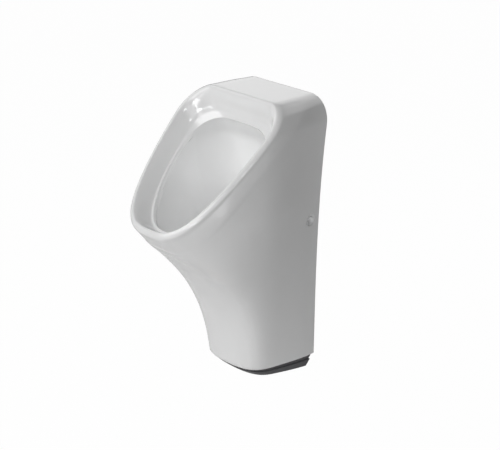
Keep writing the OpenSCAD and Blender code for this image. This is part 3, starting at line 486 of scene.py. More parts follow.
def placed(piece, origin, axis=(0, 0, 1)):
    """Stands a piece made in millimetres along +Z on origin, turned to axis, with its place in its mesh."""
    turn = Vector((0, 0, 1)).rotation_difference(Vector(axis)).to_matrix().to_4x4()
    piece.data.transform(Matrix.Translation(Vector(origin)) @ turn @ Matrix.Scale(0.001, 4))
    return piece


def turned(name, profile, origin=None, axis=(0, 0, 1), around=96, looped=False):
    """A closed mesh turned about +Z from (radius, height) in millimetres, placed if it has an origin."""
    spin = np.linspace(0, 2 * np.pi, around, endpoint=False)
    verts = [(r * math.cos(a), r * math.sin(a), z) for r, z in profile for a in spin]
    if not looped:
        verts += [(0, 0, profile[0][1]), (0, 0, profile[-1][1])]
    made = object_of(name, verts, joined_rings(len(profile), around, looped))
    return placed(made, origin, axis) if origin is not None else made


def cut(target, cutter, operation="DIFFERENCE"):
    step = target.modifiers.new("cut", "BOOLEAN")
    step.operation = operation
    step.object = cutter
    step.solver = "MANIFOLD"
    bpy.context.view_layer.update()
    result = bpy.data.meshes.new_from_object(target.evaluated_get(bpy.context.evaluated_depsgraph_get()))
    target.modifiers.clear()
    target.data = result
    bpy.data.objects.remove(cutter)


def hole_cutter(name, radius, fillet, origin, axis, inward):
    """A straight bore that opens in a rounded edge at the face that it comes out of."""
    mouth = radius + fillet
    arc = [(mouth - fillet * math.cos(a), -fillet + fillet * math.sin(a))
           for a in np.radians([0, 22.5, 45, 67.5, 90])]
    return turned(name, [(radius, -inward), *arc, (mouth + 0.3, 0.15), (mouth + 4, 3.0)], origin, axis)


def stand_at(depth, height):
    """The place on the middle plane that is this far from the wall and above the foot."""
    return (0, -depth / 1000, height / 1000 - FIX_HEIGHT)


OUTLET_HOLE_R, SIDE_HOLE_D, SIDE_HOLE_R, SIDE_HOLE_EDGE = 27, 25, 10, 2.2
shell = lofted("ceramic_shell", outside)
skirt_hollow = lofted("skirt_hollow", hollow)
cut(skirt_hollow, lofted("bowl_skin", bowl_skin))
hollow_faces = BVHTree.FromObject(skirt_hollow, bpy.context.evaluated_depsgraph_get())
cut(shell, skirt_hollow)
outlet = stand_at(OUTLET_D, FLOOR_Z)
cut(shell, hole_cutter("outlet_hole", OUTLET_HOLE_R, EDGE_R, outlet, (0, 0, 1), BOWL_WALL + 4))
hole_z = FIX_HEIGHT * 1000
side_x = body_half(point(SIDE_HOLE_D), point(hole_z))[0]
side_slope = body_half(point(SIDE_HOLE_D + 1), point(hole_z))[0] - side_x
side_rise = body_half(point(SIDE_HOLE_D), point(hole_z + 1))[0] - side_x
for side in (-1, 1):
    facing = Vector((side, side_slope, -side_rise)).normalized()
    origin = Vector((side * side_x, -SIDE_HOLE_D, 0)) / 1000
    cut(shell, hole_cutter("side_hole", SIDE_HOLE_R, SIDE_HOLE_EDGE, origin, facing, SKIRT_WALL + 8))


# Glaze: white feldspathic glaze about half a millimetre thick on the white china. It lies a little
# unevenly, with a faint ripple, thins to a satin coat in the hollow and leaves the ground edges bare.
def shader_of(material):
    return material.node_tree.nodes["Principled BSDF"]


def new_material(name, colour, roughness, metallic=0.0):
    material = bpy.data.materials.new(name)
    material.use_nodes = True
    shader = shader_of(material)
    shader.inputs["Base Color"].default_value = (*colour, 1)
    shader.inputs["Roughness"].default_value = roughness
    shader.inputs["Metallic"].default_value = metallic
    return material


def add_node(tree, kind, **settings):
    made = tree.nodes.new(kind)
    for name, value in settings.items():
        if name in made.inputs:
            made.inputs[name].default_value = value
        else:
            setattr(made, name, value)
    return made


def surface_grain():
    """A shader group: a cloudy tone over the whole piece, and fine grain for its gloss and relief."""
    group = bpy.data.node_groups.new("surface_grain", "ShaderNodeTree")
    for name, kind in (("Vector", "NodeSocketVector"), ("Tone Scale", "NodeSocketFloat"),
                       ("Grain Scale", "NodeSocketFloat")):
        group.interface.new_socket(name, in_out="INPUT", socket_type=kind)
    for name in ("Tone", "Grain"):
        group.interface.new_socket(name, in_out="OUTPUT", socket_type="NodeSocketFloat")
    source = group.nodes.new("NodeGroupInput")
    result = group.nodes.new("NodeGroupOutput")
    for name in ("Tone", "Grain"):
        noise = add_node(group, "ShaderNodeTexNoise", Detail=3.0, Roughness=0.5)
        group.links.new(source.outputs["Vector"], noise.inputs["Vector"])
        group.links.new(source.outputs[name + " Scale"], noise.inputs["Scale"])
        group.links.new(noise.outputs["Fac"], result.inputs[name])
    return group


grain_group = surface_grain()


def surface(name, dark, light, rough, grain_scale=900.0, relief=0.0001, tone_scale=30.0, stretch=(1, 1, 1),
            metallic=0.0):
    """A material whose tone wanders between two colours and whose gloss and relief follow its grain."""
    material = new_material(name, light, rough[1], metallic)
    tree, shader = material.node_tree, shader_of(material)
    where = add_node(tree, "ShaderNodeTexCoord")
    turn = add_node(tree, "ShaderNodeMapping", Scale=stretch)
    grain = tree.nodes.new("ShaderNodeGroup")
    grain.node_tree = grain_group
    grain.inputs["Tone Scale"].default_value = tone_scale
    grain.inputs["Grain Scale"].default_value = grain_scale
    tint = add_node(tree, "ShaderNodeMix", data_type="RGBA")
    tint.inputs[6].default_value = (*dark, 1)
    tint.inputs[7].default_value = (*light, 1)
    gloss = tree.nodes.new("ShaderNodeMapRange")
    gloss.inputs["To Min"].default_value, gloss.inputs["To Max"].default_value = rough
    bump = add_node(tree, "ShaderNodeBump", Strength=0.3, Distance=relief)
    link = tree.links.new
    link(where.outputs["Object"], turn.inputs["Vector"])
    link(turn.outputs["Vector"], grain.inputs["Vector"])
    link(grain.outputs["Tone"], tint.inputs[0])
    link(tint.outputs[2], shader.inputs["Base Color"])
    link(grain.outputs["Grain"], gloss.inputs["Value"])
    link(gloss.outputs["Result"], shader.inputs["Roughness"])
    link(grain.outputs["Grain"], bump.inputs["Height"])
    link(bump.outputs["Normal"], shader.inputs["Normal"])
    return material


glaze = surface("white_glaze", (0.905, 0.908, 0.908), (0.925, 0.927, 0.927), (0.09, 0.15),
                grain_scale=70.0, relief=0.0003, tone_scale=8.0)
shader_of(glaze).inputs["Coat Weight"].default_value = 0.4
shader_of(glaze).inputs["Coat Roughness"].default_value = 0.04
thin_glaze = surface("thin_glaze", (0.74, 0.73, 0.70), (0.84, 0.83, 0.81), (0.3, 0.6),
                     grain_scale=220.0, relief=0.0006, tone_scale=14.0)
bare_china = surface("bare_china", (0.70, 0.67, 0.62), (0.80, 0.77, 0.72), (0.75, 0.95),
                     grain_scale=900.0, relief=0.0005, tone_scale=40.0)

# The ground edges face the wall at its plane or look down no higher than the foot's rise
FLAT_ENOUGH, AT_WALL, ON_HOLLOW = 0.9, 0.0005, 1e-5
foot_top = (FOOT_RISE + 1) / 1000 - FIX_HEIGHT
shell.data.materials.clear()
for coat in (glaze, thin_glaze, bare_china):
    shell.data.materials.append(coat)
for face in shell.data.polygons:
    centre, normal = face.center, face.normal
    in_hollow = hollow_faces.find_nearest(centre)[3] < ON_HOLLOW
    to_wall = normal.y > FLAT_ENOUGH and centre.y > -AT_WALL
    to_floor = normal.z < -FLAT_ENOUGH and centre.z < foot_top
    face.material_index = 2 if to_wall or to_floor else 1 if in_hollow else 0
shell.data.shade_smooth()
shell.data.set_sharp_from_angle(angle=math.radians(60))
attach(shell, "urinal")
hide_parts("ceramic_body")


# Waste fitting: the flanged tail through the bowl's floor, injection moulded in white plastic with
# a thread on its tail. The lock nut under the bowl pulls its flange down on the flat seal.
def rounded(profile, steps=5):
    """Rounds the corners of a closed profile of (radius, height, size of its round)."""
    corners = np.array([p[:2] for p in profile], float)
    made = []
    for i, p in enumerate(profile):
        here = corners[i]
        if p[2] <= 0:
            made.append(here)
            continue
        a, b = corners[i - 1] - here, corners[(i + 1) % len(corners)] - here
        long_a, long_b = np.linalg.norm(a), np.linalg.norm(b)
        reach = min(p[2], 0.48 * long_a, 0.48 * long_b)
        made += [here + a * reach / long_a * (1 - t) ** 2 + b * reach / long_b * t ** 2
                 for t in np.linspace(0, 1, steps)]
    return made


def new_tree(name, sizes):
    """An empty Geometry Nodes tree with its geometry, named sizes and material as inputs."""
    tree = bpy.data.node_groups.new(name, "GeometryNodeTree")
    tree.interface.new_socket("Geometry", in_out="INPUT", socket_type="NodeSocketGeometry")
    for size in sizes:
        kind = "NodeSocketInt" if size == "Count" else "NodeSocketFloat"
        tree.interface.new_socket(size, in_out="INPUT", socket_type=kind)
    tree.interface.new_socket("Material", in_out="INPUT", socket_type="NodeSocketMaterial")
    tree.interface.new_socket("Geometry", in_out="OUTPUT", socket_type="NodeSocketGeometry")
    return tree, tree.nodes.new("NodeGroupInput"), tree.nodes.new("NodeGroupOutput")


def ended(tree, source, result, geometry):
    """Ends a tree in real geometry with its material set."""
    real = tree.nodes.new("GeometryNodeRealizeInstances")
    coat = tree.nodes.new("GeometryNodeSetMaterial")
    tree.links.new(geometry, real.inputs[0])
    tree.links.new(real.outputs[0], coat.inputs["Geometry"])
    tree.links.new(source.outputs["Material"], coat.inputs["Material"])
    tree.links.new(coat.outputs[0], result.inputs[0])
    return tree


def thread_tree():
    """Lays a helical ridge of a given radius, start, length, pitch and depth round the piece."""
    tree, source, result = new_tree("moulded_thread", ("Radius", "Start", "Length", "Pitch", "Depth"))
    turns = add_node(tree, "ShaderNodeMath", operation="DIVIDE")
    spiral = add_node(tree, "GeometryNodeCurveSpiral", Resolution=64)
    upright = add_node(tree, "GeometryNodeSetCurveNormal", mode="Z_UP")
    section = add_node(tree, "GeometryNodeCurvePrimitiveCircle", Resolution=4)
    sweep = tree.nodes.new("GeometryNodeCurveToMesh")
    sweep.inputs["Fill Caps"].default_value = True
    height = tree.nodes.new("ShaderNodeCombineXYZ")
    place = tree.nodes.new("GeometryNodeTransform")
    both = tree.nodes.new("GeometryNodeJoinGeometry")
    link = tree.links.new
    link(source.outputs["Length"], turns.inputs[0])
    link(source.outputs["Pitch"], turns.inputs[1])
    link(turns.outputs[0], spiral.inputs["Rotations"])
    for name in ("Start Radius", "End Radius"):
        link(source.outputs["Radius"], spiral.inputs[name])
    link(source.outputs["Length"], spiral.inputs["Height"])
    link(source.outputs["Depth"], section.inputs["Radius"])
    link(spiral.outputs[0], upright.inputs[0])
    link(upright.outputs[0], sweep.inputs["Curve"])
    link(section.outputs["Curve"], sweep.inputs["Profile Curve"])
    link(source.outputs["Start"], height.inputs["Z"])
    link(sweep.outputs[0], place.inputs["Geometry"])
    link(height.outputs[0], place.inputs["Translation"])
    link(source.outputs["Geometry"], both.inputs[0])
    link(place.outputs[0], both.inputs[0])
    return ended(tree, source, result, both.outputs[0])


def grown(piece, tree, **values):
    """Runs a tree on the piece and keeps what it makes as the piece's plain mesh."""
    step = piece.modifiers.new("grown", "NODES")
    step.node_group = tree
    for item in tree.interface.items_tree:
        if item.in_out == "INPUT" and item.name.replace(" ", "_") in values:
            step[item.identifier] = values[item.name.replace(" ", "_")]
    bpy.context.view_layer.update()
    result = bpy.data.meshes.new_from_object(piece.evaluated_get(bpy.context.evaluated_depsgraph_get()))
    piece.modifiers.clear()
    piece.data = result
    return piece


def dressed(piece, material, body, slot, *stands_for, sharp=35):
    piece.data.materials.clear()
    piece.data.materials.append(material)
    for face in piece.data.polygons:
        face.material_index = 0
    piece.data.shade_smooth()
    piece.data.set_sharp_from_angle(angle=math.radians(sharp))
    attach(piece, body)
    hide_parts(*stands_for)
    return piece


white_plastic = surface("white_moulding", (0.80, 0.81, 0.82), (0.84, 0.85, 0.86), (0.22, 0.36),
                        grain_scale=500.0)
moulded_thread = thread_tree()
OUTLET_FOOT = stand_at(OUTLET_D, 0)
# FIT is the clearance between pieces that screw or slide together
FIT = 0.05
TAIL_R, TAIL_IN_R, TAIL_FOOT, THREAD_END = 26, 23.5, 112, 166
THREAD_DEPTH, THREAD_PITCH, THREAD_START, THREAD_LENGTH = 0.6, 2.5, 2.0, 51.0
FLANGE_R, FLANGE_FOOT, FLANGE_TOP, RIM_SEAT_R, RIM_SEAT = 34, 180, 185, 26.5, 182
root_r = TAIL_R - THREAD_DEPTH
fitting = turned("waste_fitting", rounded([
    (TAIL_IN_R, TAIL_FOOT, 0.5), (root_r, TAIL_FOOT, 0.8), (root_r, THREAD_END, 0),
    (TAIL_R, THREAD_END + THREAD_DEPTH, 0), (TAIL_R, FLANGE_FOOT, 0.4), (FLANGE_R, FLANGE_FOOT, 0.8),
    (FLANGE_R - 2, FLANGE_TOP, 1.6), (RIM_SEAT_R, FLANGE_TOP, 0.5), (RIM_SEAT_R, RIM_SEAT, 0.3),
    (TAIL_IN_R, RIM_SEAT, 0.4)]), looped=True)
grown(fitting, moulded_thread, Radius=root_r, Start=TAIL_FOOT + THREAD_START, Length=THREAD_LENGTH,
      Pitch=THREAD_PITCH, Depth=THREAD_DEPTH, Material=white_plastic)
dressed(placed(fitting, OUTLET_FOOT), white_plastic, "urinal", "white_plastic", "waste_flange")

# Flat seals: three rings stamped from black rubber sheet, one above the bowl's floor, one below it
# under the lock nut and one in the cleaning plug. Each bulges a little where it is squeezed.
black_rubber = surface("black_rubber", (0.035, 0.035, 0.038), (0.055, 0.055, 0.06), (0.65, 0.85),
                       grain_scale=1400.0, relief=0.0002)
SEAL_T, BULGE = 2, 0.3
for node, outer, inner, foot in (
        ("flange_seal", 33, TAIL_R + FIT, FLOOR_Z),
        ("under_seal", 35, TAIL_R + FIT, FLOOR_Z - BOWL_WALL - SEAL_T),
        ("plug_seal", 30, 24, 26)):
    seal = turned(node + "_ring", rounded([
        (inner, foot, 0.3), (outer - BULGE, foot, 0.6), (outer, foot + SEAL_T / 2, 0.7),
        (outer - BULGE, foot + SEAL_T, 0.6), (inner, foot + SEAL_T, 0.3)]), OUTLET_FOOT, looped=True)
    dressed(seal, black_rubber, "urinal", "seal_rubber", node)


# Ring nuts: the lock nut in white and the trap's two clamping nuts in black, each moulded with
# twelve finger grips round its edge and turned up by hand on its thread.
def carved(tree, solid, spots, tool):
    """Cuts a copy of the tool out of the solid at every spot."""
    spread = tree.nodes.new("GeometryNodeInstanceOnPoints")
    tools = tree.nodes.new("GeometryNodeRealizeInstances")
    carve = tree.nodes.new("GeometryNodeMeshBoolean")
    carve.operation = "DIFFERENCE"
    carve.solver = "MANIFOLD"
    tree.links.new(spots, spread.inputs["Points"])
    tree.links.new(tool, spread.inputs["Instance"])
    tree.links.new(spread.outputs[0], tools.inputs[0])
    tree.links.new(solid, carve.inputs["Mesh 1"])
    tree.links.new(tools.outputs[0], carve.inputs["Mesh 2"])
    return carve.outputs[0]


def grips_tree():
    """Cuts a given number of upright finger grips into the edge of the piece."""
    tree, source, result = new_tree("finger_grips", ("Count", "Spacing Radius", "Grip Radius", "Height"))
    spots = add_node(tree, "GeometryNodeMeshCircle")
    post = add_node(tree, "GeometryNodeMeshCylinder", Vertices=32)
    tree.links.new(source.outputs["Count"], spots.inputs["Vertices"])
    tree.links.new(source.outputs["Spacing Radius"], spots.inputs["Radius"])
    tree.links.new(source.outputs["Grip Radius"], post.inputs["Radius"])
    tree.links.new(source.outputs["Height"], post.inputs["Depth"])
    gripped = carved(tree, source.outputs["Geometry"], spots.outputs[0], post.outputs["Mesh"])
    return ended(tree, source, result, gripped)


finger_grips = grips_tree()
black_plastic = surface("black_moulding", (0.045, 0.045, 0.05), (0.075, 0.075, 0.08), (0.38, 0.55),
                        grain_scale=700.0, relief=0.0002)
NUT_R, NUT_H, NUT_LIP, GRIP_R, GRIPS = 37, 12, 3, 4, 12
NECK_R, SOCKET_R, PIPE_R, PIPE_Z = 30.5, 29.5, 25, 78
for node, material, slot, thread_r, lip_r, foot, axis in (
        ("lock_nut", white_plastic, "white_plastic", TAIL_R, TAIL_R, stand_at(OUTLET_D, 153), (0, 0, 1)),
        ("inlet_nut", black_plastic, "black_plastic", NECK_R, TAIL_R, stand_at(OUTLET_D, 130), (0, 0, 1)),
        ("outlet_nut", black_plastic, "black_plastic", SOCKET_R, PIPE_R, stand_at(35, PIPE_Z), (0, 1, 0))):
    thread_r, lip_r, lip_foot = thread_r + FIT, lip_r + FIT, NUT_H - NUT_LIP
    lip_step = [(lip_r, lip_foot, 0.3), (thread_r, lip_foot, 0.4)] if thread_r > lip_r else []
    nut = turned(node + "_ring", rounded([
        (lip_r, NUT_H, 0.5), *lip_step, (thread_r, 0, 0.6), (NUT_R, 0, 1.0), (NUT_R, NUT_H, 1.4)]),
        looped=True)
    grown(nut, finger_grips, Count=GRIPS, Spacing_Radius=NUT_R + GRIP_R / 3, Grip_Radius=float(GRIP_R),
          Height=4.0 * NUT_H, Material=material)
    dressed(placed(nut, foot, axis), material, node, slot, node)

# Odour trap cartridge: a white moulded cup that hangs by its rim in the waste fitting, with a
# rubber o-ring in its groove. Its silicone hose lets liquid down and closes flat against smells.
CART_R, CART_IN_R, CART_FOOT, GROOVE, MEMBRANE = 22.9, 20.9, 109, 168, 158
CART_RIM_R, GRID_SEAT_R, GRID_SEAT = 26.2, 25.05, 183.5
O_RING_MIDDLE, O_RING_R, O_RING_SIDES = 23.15, 1.3, 24
groove_r = O_RING_R + FIT
groove_round = [(O_RING_MIDDLE + groove_r * math.cos(a), GROOVE + groove_r * math.sin(a), 0)
                for a in np.linspace(-1.74, -4.54, 9)]
cartridge = turned("cartridge_cup", rounded([
    (CART_IN_R, CART_FOOT, 0.4), (CART_R, CART_FOOT, 1.0), *groove_round, (CART_R, RIM_SEAT, 0.2),
    (CART_RIM_R, RIM_SEAT, 0.4), (CART_RIM_R, FLANGE_TOP, 0.6), (GRID_SEAT_R, FLANGE_TOP, 0.3),
    (GRID_SEAT_R, GRID_SEAT, 0), (CART_IN_R, GRID_SEAT, 0.3), (CART_IN_R, MEMBRANE, 0),
    (CART_IN_R - 0.5, MEMBRANE, 0), (CART_IN_R - 0.5, MEMBRANE - 2, 0), (CART_IN_R, MEMBRANE - 2, 0)]),
    OUTLET_FOOT, looped=True)
dressed(cartridge, white_plastic, "cartridge", "white_plastic", "cartridge_body")

PRESSED = TAIL_IN_R - FIT
o_ring = turned("o_ring", [
    (min(O_RING_MIDDLE + O_RING_R * math.cos(a), PRESSED), GROOVE + O_RING_R * math.sin(a))
    for a in np.linspace(0, 2 * math.pi, O_RING_SIDES, endpoint=False)], OUTLET_FOOT, looped=True)
dressed(o_ring, black_rubber, "cartridge", "seal_rubber", "cartridge_o_ring", sharp=60)

grey_plastic = surface("grey_moulding", (0.30, 0.31, 0.33), (0.38, 0.39, 0.41), (0.35, 0.5),
                       grain_scale=600.0, stretch=(1, 0.15, 1))
HOSE_SEAT_R, CARRIER_H = 17.9, 3
carrier_in, carrier_out, carrier_top = HOSE_SEAT_R + FIT, CART_IN_R - FIT, MEMBRANE + CARRIER_H
carrier = turned("membrane_carrier", rounded([
    (carrier_in, MEMBRANE, 0.4), (carrier_out, MEMBRANE, 0.3), (carrier_out, carrier_top, 0.5),
    (carrier_in, carrier_top, 0.8)]), OUTLET_FOOT, looped=True)
dressed(carrier, grey_plastic, "cartridge", "grey_plastic", "membrane_ring")

silicone = surface("blue_grey_silicone", (0.30, 0.34, 0.39), (0.36, 0.40, 0.45), (0.3, 0.45),
                   grain_scale=300.0)
shader_of(silicone).inputs["Subsurface Weight"].default_value = 0.25
shader_of(silicone).inputs["Subsurface Scale"].default_value = 0.004
HOSE_R, HOSE_WALL, HOSE_FOOT, HOSE_COLLAR, HOSE_SIDES = 13, 1.2, 113, 3, 96
SHUT_FLAT, SHUT_WIDER, SHUT_FROM, SHUT_OVER = 0.12, 0.3, 0.15, 0.7
hose_spin = -np.linspace(0, 2 * np.pi, HOSE_SIDES, endpoint=False)


def hose_ring(k, wall):
    """The hose's skin from its round top (k = 0) to its flat, shut end (k = 1), less this wall."""
    flat = mix(1, SHUT_FLAT, ease((k - SHUT_FROM) / SHUT_OVER))
    x = HOSE_R * (1 + SHUT_WIDER * (1 - flat)) * np.cos(hose_spin)
    y = HOSE_R * flat * np.sin(hose_spin)
    thin = 1 - wall / np.hypot(x, y)
    return np.stack([x * thin, y * thin - OUTLET_D, np.full(HOSE_SIDES, mix(MEMBRANE, HOSE_FOOT, k))], 1)


def hose_circle(radius, height):
    return np.stack([radius * np.cos(hose_spin), radius * np.sin(hose_spin) - OUTLET_D,
                     np.full(HOSE_SIDES, height)], 1)


collar_foot = carrier_top + FIT
collar_top = collar_foot + HOSE_COLLAR
seat_r, collar_r, bore_r = HOSE_SEAT_R - FIT, HOSE_SEAT_R + 2, HOSE_SEAT_R - FIT - HOSE_WALL
hose = [hose_ring(k, 0) for k in np.linspace(1, 0, 25)]
hose += [hose_circle(r, h) for r, h in (
    (seat_r, collar_foot), (collar_r - 0.3, collar_foot), (collar_r, collar_foot + 0.3),
    (collar_r, collar_top - 0.6), (collar_r - 0.6, collar_top), (bore_r + 0.4, collar_top),
    (bore_r, collar_top - 0.4), (bore_r, collar_foot))]
hose += [hose_ring(k, HOSE_WALL) for k in np.linspace(0, 1, 25)]
dressed(lofted("odour_hose", hose, looped=True), silicone, "cartridge", "silicone", "hose_membrane")


# Strainer: a disc punched from stainless sheet with rings of round holes, brushed and pressed
# into the cartridge's rim so that it lifts out with it.
def holes_tree():
    """Punches one hole in the middle and three rings of six, twelve and eighteen round it."""
    tree, source, result = new_tree("punched_holes", ("Pitch", "Hole Radius", "Height"))
    punch = add_node(tree, "GeometryNodeMeshCylinder", Vertices=28)
    spots = tree.nodes.new("GeometryNodeJoinGeometry")
    middle = add_node(tree, "GeometryNodeMeshLine", Count=1)
    for k in (1, 2, 3):
        reach = add_node(tree, "ShaderNodeMath", operation="MULTIPLY")
        reach.inputs[1].default_value = k
        circle = add_node(tree, "GeometryNodeMeshCircle", Vertices=6 * k)
        tree.links.new(source.outputs["Pitch"], reach.inputs[0])
        tree.links.new(reach.outputs[0], circle.inputs["Radius"])
        tree.links.new(circle.outputs[0], spots.inputs[0])
    tree.links.new(middle.outputs[0], spots.inputs[0])
    tree.links.new(source.outputs["Hole Radius"], punch.inputs["Radius"])
    tree.links.new(source.outputs["Height"], punch.inputs["Depth"])
    punched = carved(tree, source.outputs["Geometry"], spots.outputs[0], punch.outputs["Mesh"])
    return ended(tree, source, result, punched)


brushed_steel = surface("brushed_steel", (0.55, 0.56, 0.58), (0.66, 0.67, 0.69), (0.22, 0.4),
                        grain_scale=260.0, relief=0.00005, tone_scale=40.0, stretch=(0.06, 1, 1),
                        metallic=1.0)
STRAINER_R, STRAINER_T, HOLE_PITCH, HOLE_R = 25, 1.5, 6.0, 1.6
strainer = turned("strainer_disc", [
    (0.2, 0), (STRAINER_R - 0.2, 0), (STRAINER_R, 0.2), (STRAINER_R, STRAINER_T - 0.4),
    (STRAINER_R - 0.15, STRAINER_T - 0.1), (STRAINER_R - 0.4, STRAINER_T), (0.2, STRAINER_T)])
grown(strainer, holes_tree(), Pitch=HOLE_PITCH, Hole_Radius=HOLE_R, Height=8.0, Material=brushed_steel)
placed(strainer, stand_at(OUTLET_D, FLANGE_TOP - STRAINER_T))
dressed(strainer, brushed_steel, "cartridge", "steel", "strainer_grid")

# Trap housing: a chamber blown and welded in black plastic, with screwed collars for the tail
# above, the waste pipe behind and the cleaning plug below.
CHAMBER_R, CHAMBER_IN_R, CHAMBER_FOOT, CHAMBER_TOP = 34, 31.5, 38, 106.95
NECK_TOP, NECK_RELIEF, NECK_THREAD = 134, 114, 17.5
PIPE_IN_R, SOCKET_STOP, SOCKET_END = 23, 54, 31
CLEAN_R, CLEAN_OUT_R, CLEAN_FOOT = 26, 30.5, 28
AXIS_R = 0.3


def half_turned(profile):
    """Leaves the first and the last point of a closed profile near the axis, where fans close them."""
    return [p for p in rounded(profile) if p[0] > 0]


def to_the_wall(piece):
    """Lays a piece that was turned upright along the waste pipe's axis."""
    piece.data.transform(Matrix.Translation((0, 0, PIPE_Z)) @ Matrix.Rotation(-math.pi / 2, 4, "X"))
    return piece


thread_root, stop_run, socket_run = NECK_R - THREAD_DEPTH, OUTLET_D - SOCKET_STOP, OUTLET_D - SOCKET_END
seat_foot, tail_bore_r, chamber_floor = TAIL_FOOT - FIT, TAIL_R + FIT, CHAMBER_FOOT + 2.5
housing = turned("trap_chamber", half_turned([
    (AXIS_R, CHAMBER_FOOT, 0), (CHAMBER_R - 2, CHAMBER_FOOT, 0), (CHAMBER_R, CHAMBER_FOOT + 3, 3),
    (CHAMBER_R, CHAMBER_TOP, 2), (NECK_R, CHAMBER_TOP + 6, 2), (thread_root, NECK_RELIEF, 0.3),
    (thread_root, NECK_TOP, 0.5), (AXIS_R, NECK_TOP, 0)]))
cut(housing, turned("clean_collar", [
    (AXIS_R, CLEAN_FOOT), (CLEAN_OUT_R - 0.5, CLEAN_FOOT), (CLEAN_OUT_R, CLEAN_FOOT + 0.5),
    (CLEAN_OUT_R, CHAMBER_FOOT + 1), (AXIS_R, CHAMBER_FOOT + 1)]), "UNION")
cut(housing, to_the_wall(turned("pipe_socket", [
    (AXIS_R, 0), (SOCKET_R, 0), (SOCKET_R, stop_run), (SOCKET_R - 0.6, stop_run + 0.6),
    (SOCKET_R - 0.6, socket_run - 0.6), (SOCKET_R - 1.2, socket_run), (AXIS_R, socket_run)])), "UNION")
cut(housing, turned("chamber_bore", [
    (AXIS_R, chamber_floor), (CHAMBER_IN_R - 1.75, chamber_floor), (CHAMBER_IN_R, chamber_floor + 1.75),
    (CHAMBER_IN_R, CHAMBER_TOP - 3), (TAIL_IN_R, seat_foot - 2), (TAIL_IN_R, seat_foot),
    (tail_bore_r, seat_foot), (tail_bore_r, NECK_TOP - 0.6), (TAIL_R + 0.6, NECK_TOP + 0.01),
    (TAIL_R + 0.6, NECK_TOP + 2), (AXIS_R, NECK_TOP + 2)]))
clean_from, clean_to = CLEAN_FOOT - 1, chamber_floor + 1.5
cut(housing, turned("clean_bore", [
    (AXIS_R, clean_from), (CLEAN_R, clean_from), (CLEAN_R, clean_to), (AXIS_R, clean_to)]))
cut(housing, to_the_wall(turned("pipe_bore", [
    (AXIS_R, 0), (PIPE_IN_R, 0), (PIPE_IN_R, stop_run), (PIPE_R + FIT, stop_run),
    (PIPE_R + FIT, socket_run + 1), (AXIS_R, socket_run + 1)])))
grown(housing, moulded_thread, Radius=thread_root, Start=NECK_RELIEF + 1.0, Length=NECK_THREAD,
      Pitch=THREAD_PITCH, Depth=THREAD_DEPTH, Material=black_plastic)
dressed(placed(housing, OUTLET_FOOT), black_plastic, "urinal", "black_plastic", "trap_housing")

# Wedge rings: soft grey rubber rings with a taper, which the two clamping nuts squeeze between
# the collar's end and what it holds, the fitting's tail above and the waste pipe behind.
wedge_rubber = surface("grey_rubber", (0.10, 0.10, 0.11), (0.14, 0.14, 0.15), (0.6, 0.8),
                       grain_scale=1200.0, relief=0.0002)
WEDGE_H = 5
for node, inner, outer, foot, axis in (
        ("inlet_wedge_ring", TAIL_R, NECK_R, stand_at(OUTLET_D, NECK_TOP), (0, 0, 1)),
        ("outlet_wedge_ring", PIPE_R, SOCKET_R, stand_at(SOCKET_END, PIPE_Z), (0, 1, 0))):
    wedge = turned(node + "_rubber", rounded([
        (inner + FIT, 0, 0.2), (outer, 0, 0.3), (outer, WEDGE_H / 3, 0.4),
        (mix(inner, outer, 0.4), WEDGE_H, 0.4), (inner + FIT, WEDGE_H, 0.2)]), looped=True)
    dressed(placed(wedge, foot, axis), wedge_rubber, "urinal", "wedge_rubber", node)

# Cleaning plug: a white cap that screws over the collar under the trap, with finger grips round
# its edge and a bar across its face for a strong hand or a spanner.
PLUG_R, PLUG_T, PLUG_H, PLUG_FOOT, BAR_L, BAR_W = 35, 4, 14, 22, 49, 6
plug_bore_r = CLEAN_OUT_R + FIT
plug = turned("plug_cap", half_turned([
    (AXIS_R, 0, 0), (PLUG_R, 0, 1.6), (PLUG_R, PLUG_H, 0.8), (plug_bore_r, PLUG_H, 0.5),
    (plug_bore_r, PLUG_T, 0.3), (AXIS_R, PLUG_T, 0)]))
grown(plug, finger_grips, Count=GRIPS, Spacing_Radius=PLUG_R + GRIP_R / 2, Grip_Radius=float(GRIP_R),
      Height=5.0 * PLUG_H, Material=white_plastic)
bar = bmesh.new()
bmesh.ops.create_cube(bar, size=1)
bar_place = Matrix.Translation((0, 0, -BAR_W / 2 + 0.5)) @ Matrix.Diagonal((BAR_L, BAR_W, BAR_W + 1, 1))
bmesh.ops.transform(bar, matrix=bar_place, verts=bar.verts)
bmesh.ops.bevel(bar, geom=bar.edges, offset=1.2, segments=4, profile=0.5, affect="EDGES")
bar_mesh = bpy.data.meshes.new("plug_bar")
bar.to_mesh(bar_mesh)
bar.free()
plug_bar = bpy.data.objects.new("plug_bar", bar_mesh)
scene.collection.objects.link(plug_bar)
cut(plug, plug_bar, "UNION")
placed(plug, stand_at(OUTLET_D, PLUG_FOOT))
dressed(plug, white_plastic, "cleaning_plug", "white_plastic", "cleaning_plug")

# Waste pipe: a length of 50 mm grey pipe with a bead that stops it at the wall and a chamfered
# end that enters the wall's socket. The outlet nut grips it in the trap's collar.
PIPE_BEAD_R, BEAD_START, BEAD_END, PAST_THE_WALL = 27.5, 50.5, 53.5, 45
pipe_end = SOCKET_STOP + PAST_THE_WALL
pipe = turned("waste_pipe", rounded([
    (PIPE_IN_R, 0, 0.4), (PIPE_R, 0, 0.4), (PIPE_R, BEAD_START, 0.3), (PIPE_BEAD_R, BEAD_START, 1.2),
    (PIPE_BEAD_R, BEAD_END, 1.2), (PIPE_R, BEAD_END, 0.3), (PIPE_R, pipe_end - 2, 0.4),
    (PIPE_R - 1, pipe_end, 0.3), (PIPE_IN_R, pipe_end, 0.3)]),
    stand_at(SOCKET_STOP, PIPE_Z), (0, 1, 0), looped=True)
dressed(pipe, grey_plastic, "urinal", "grey_plastic", "outlet_pipe")


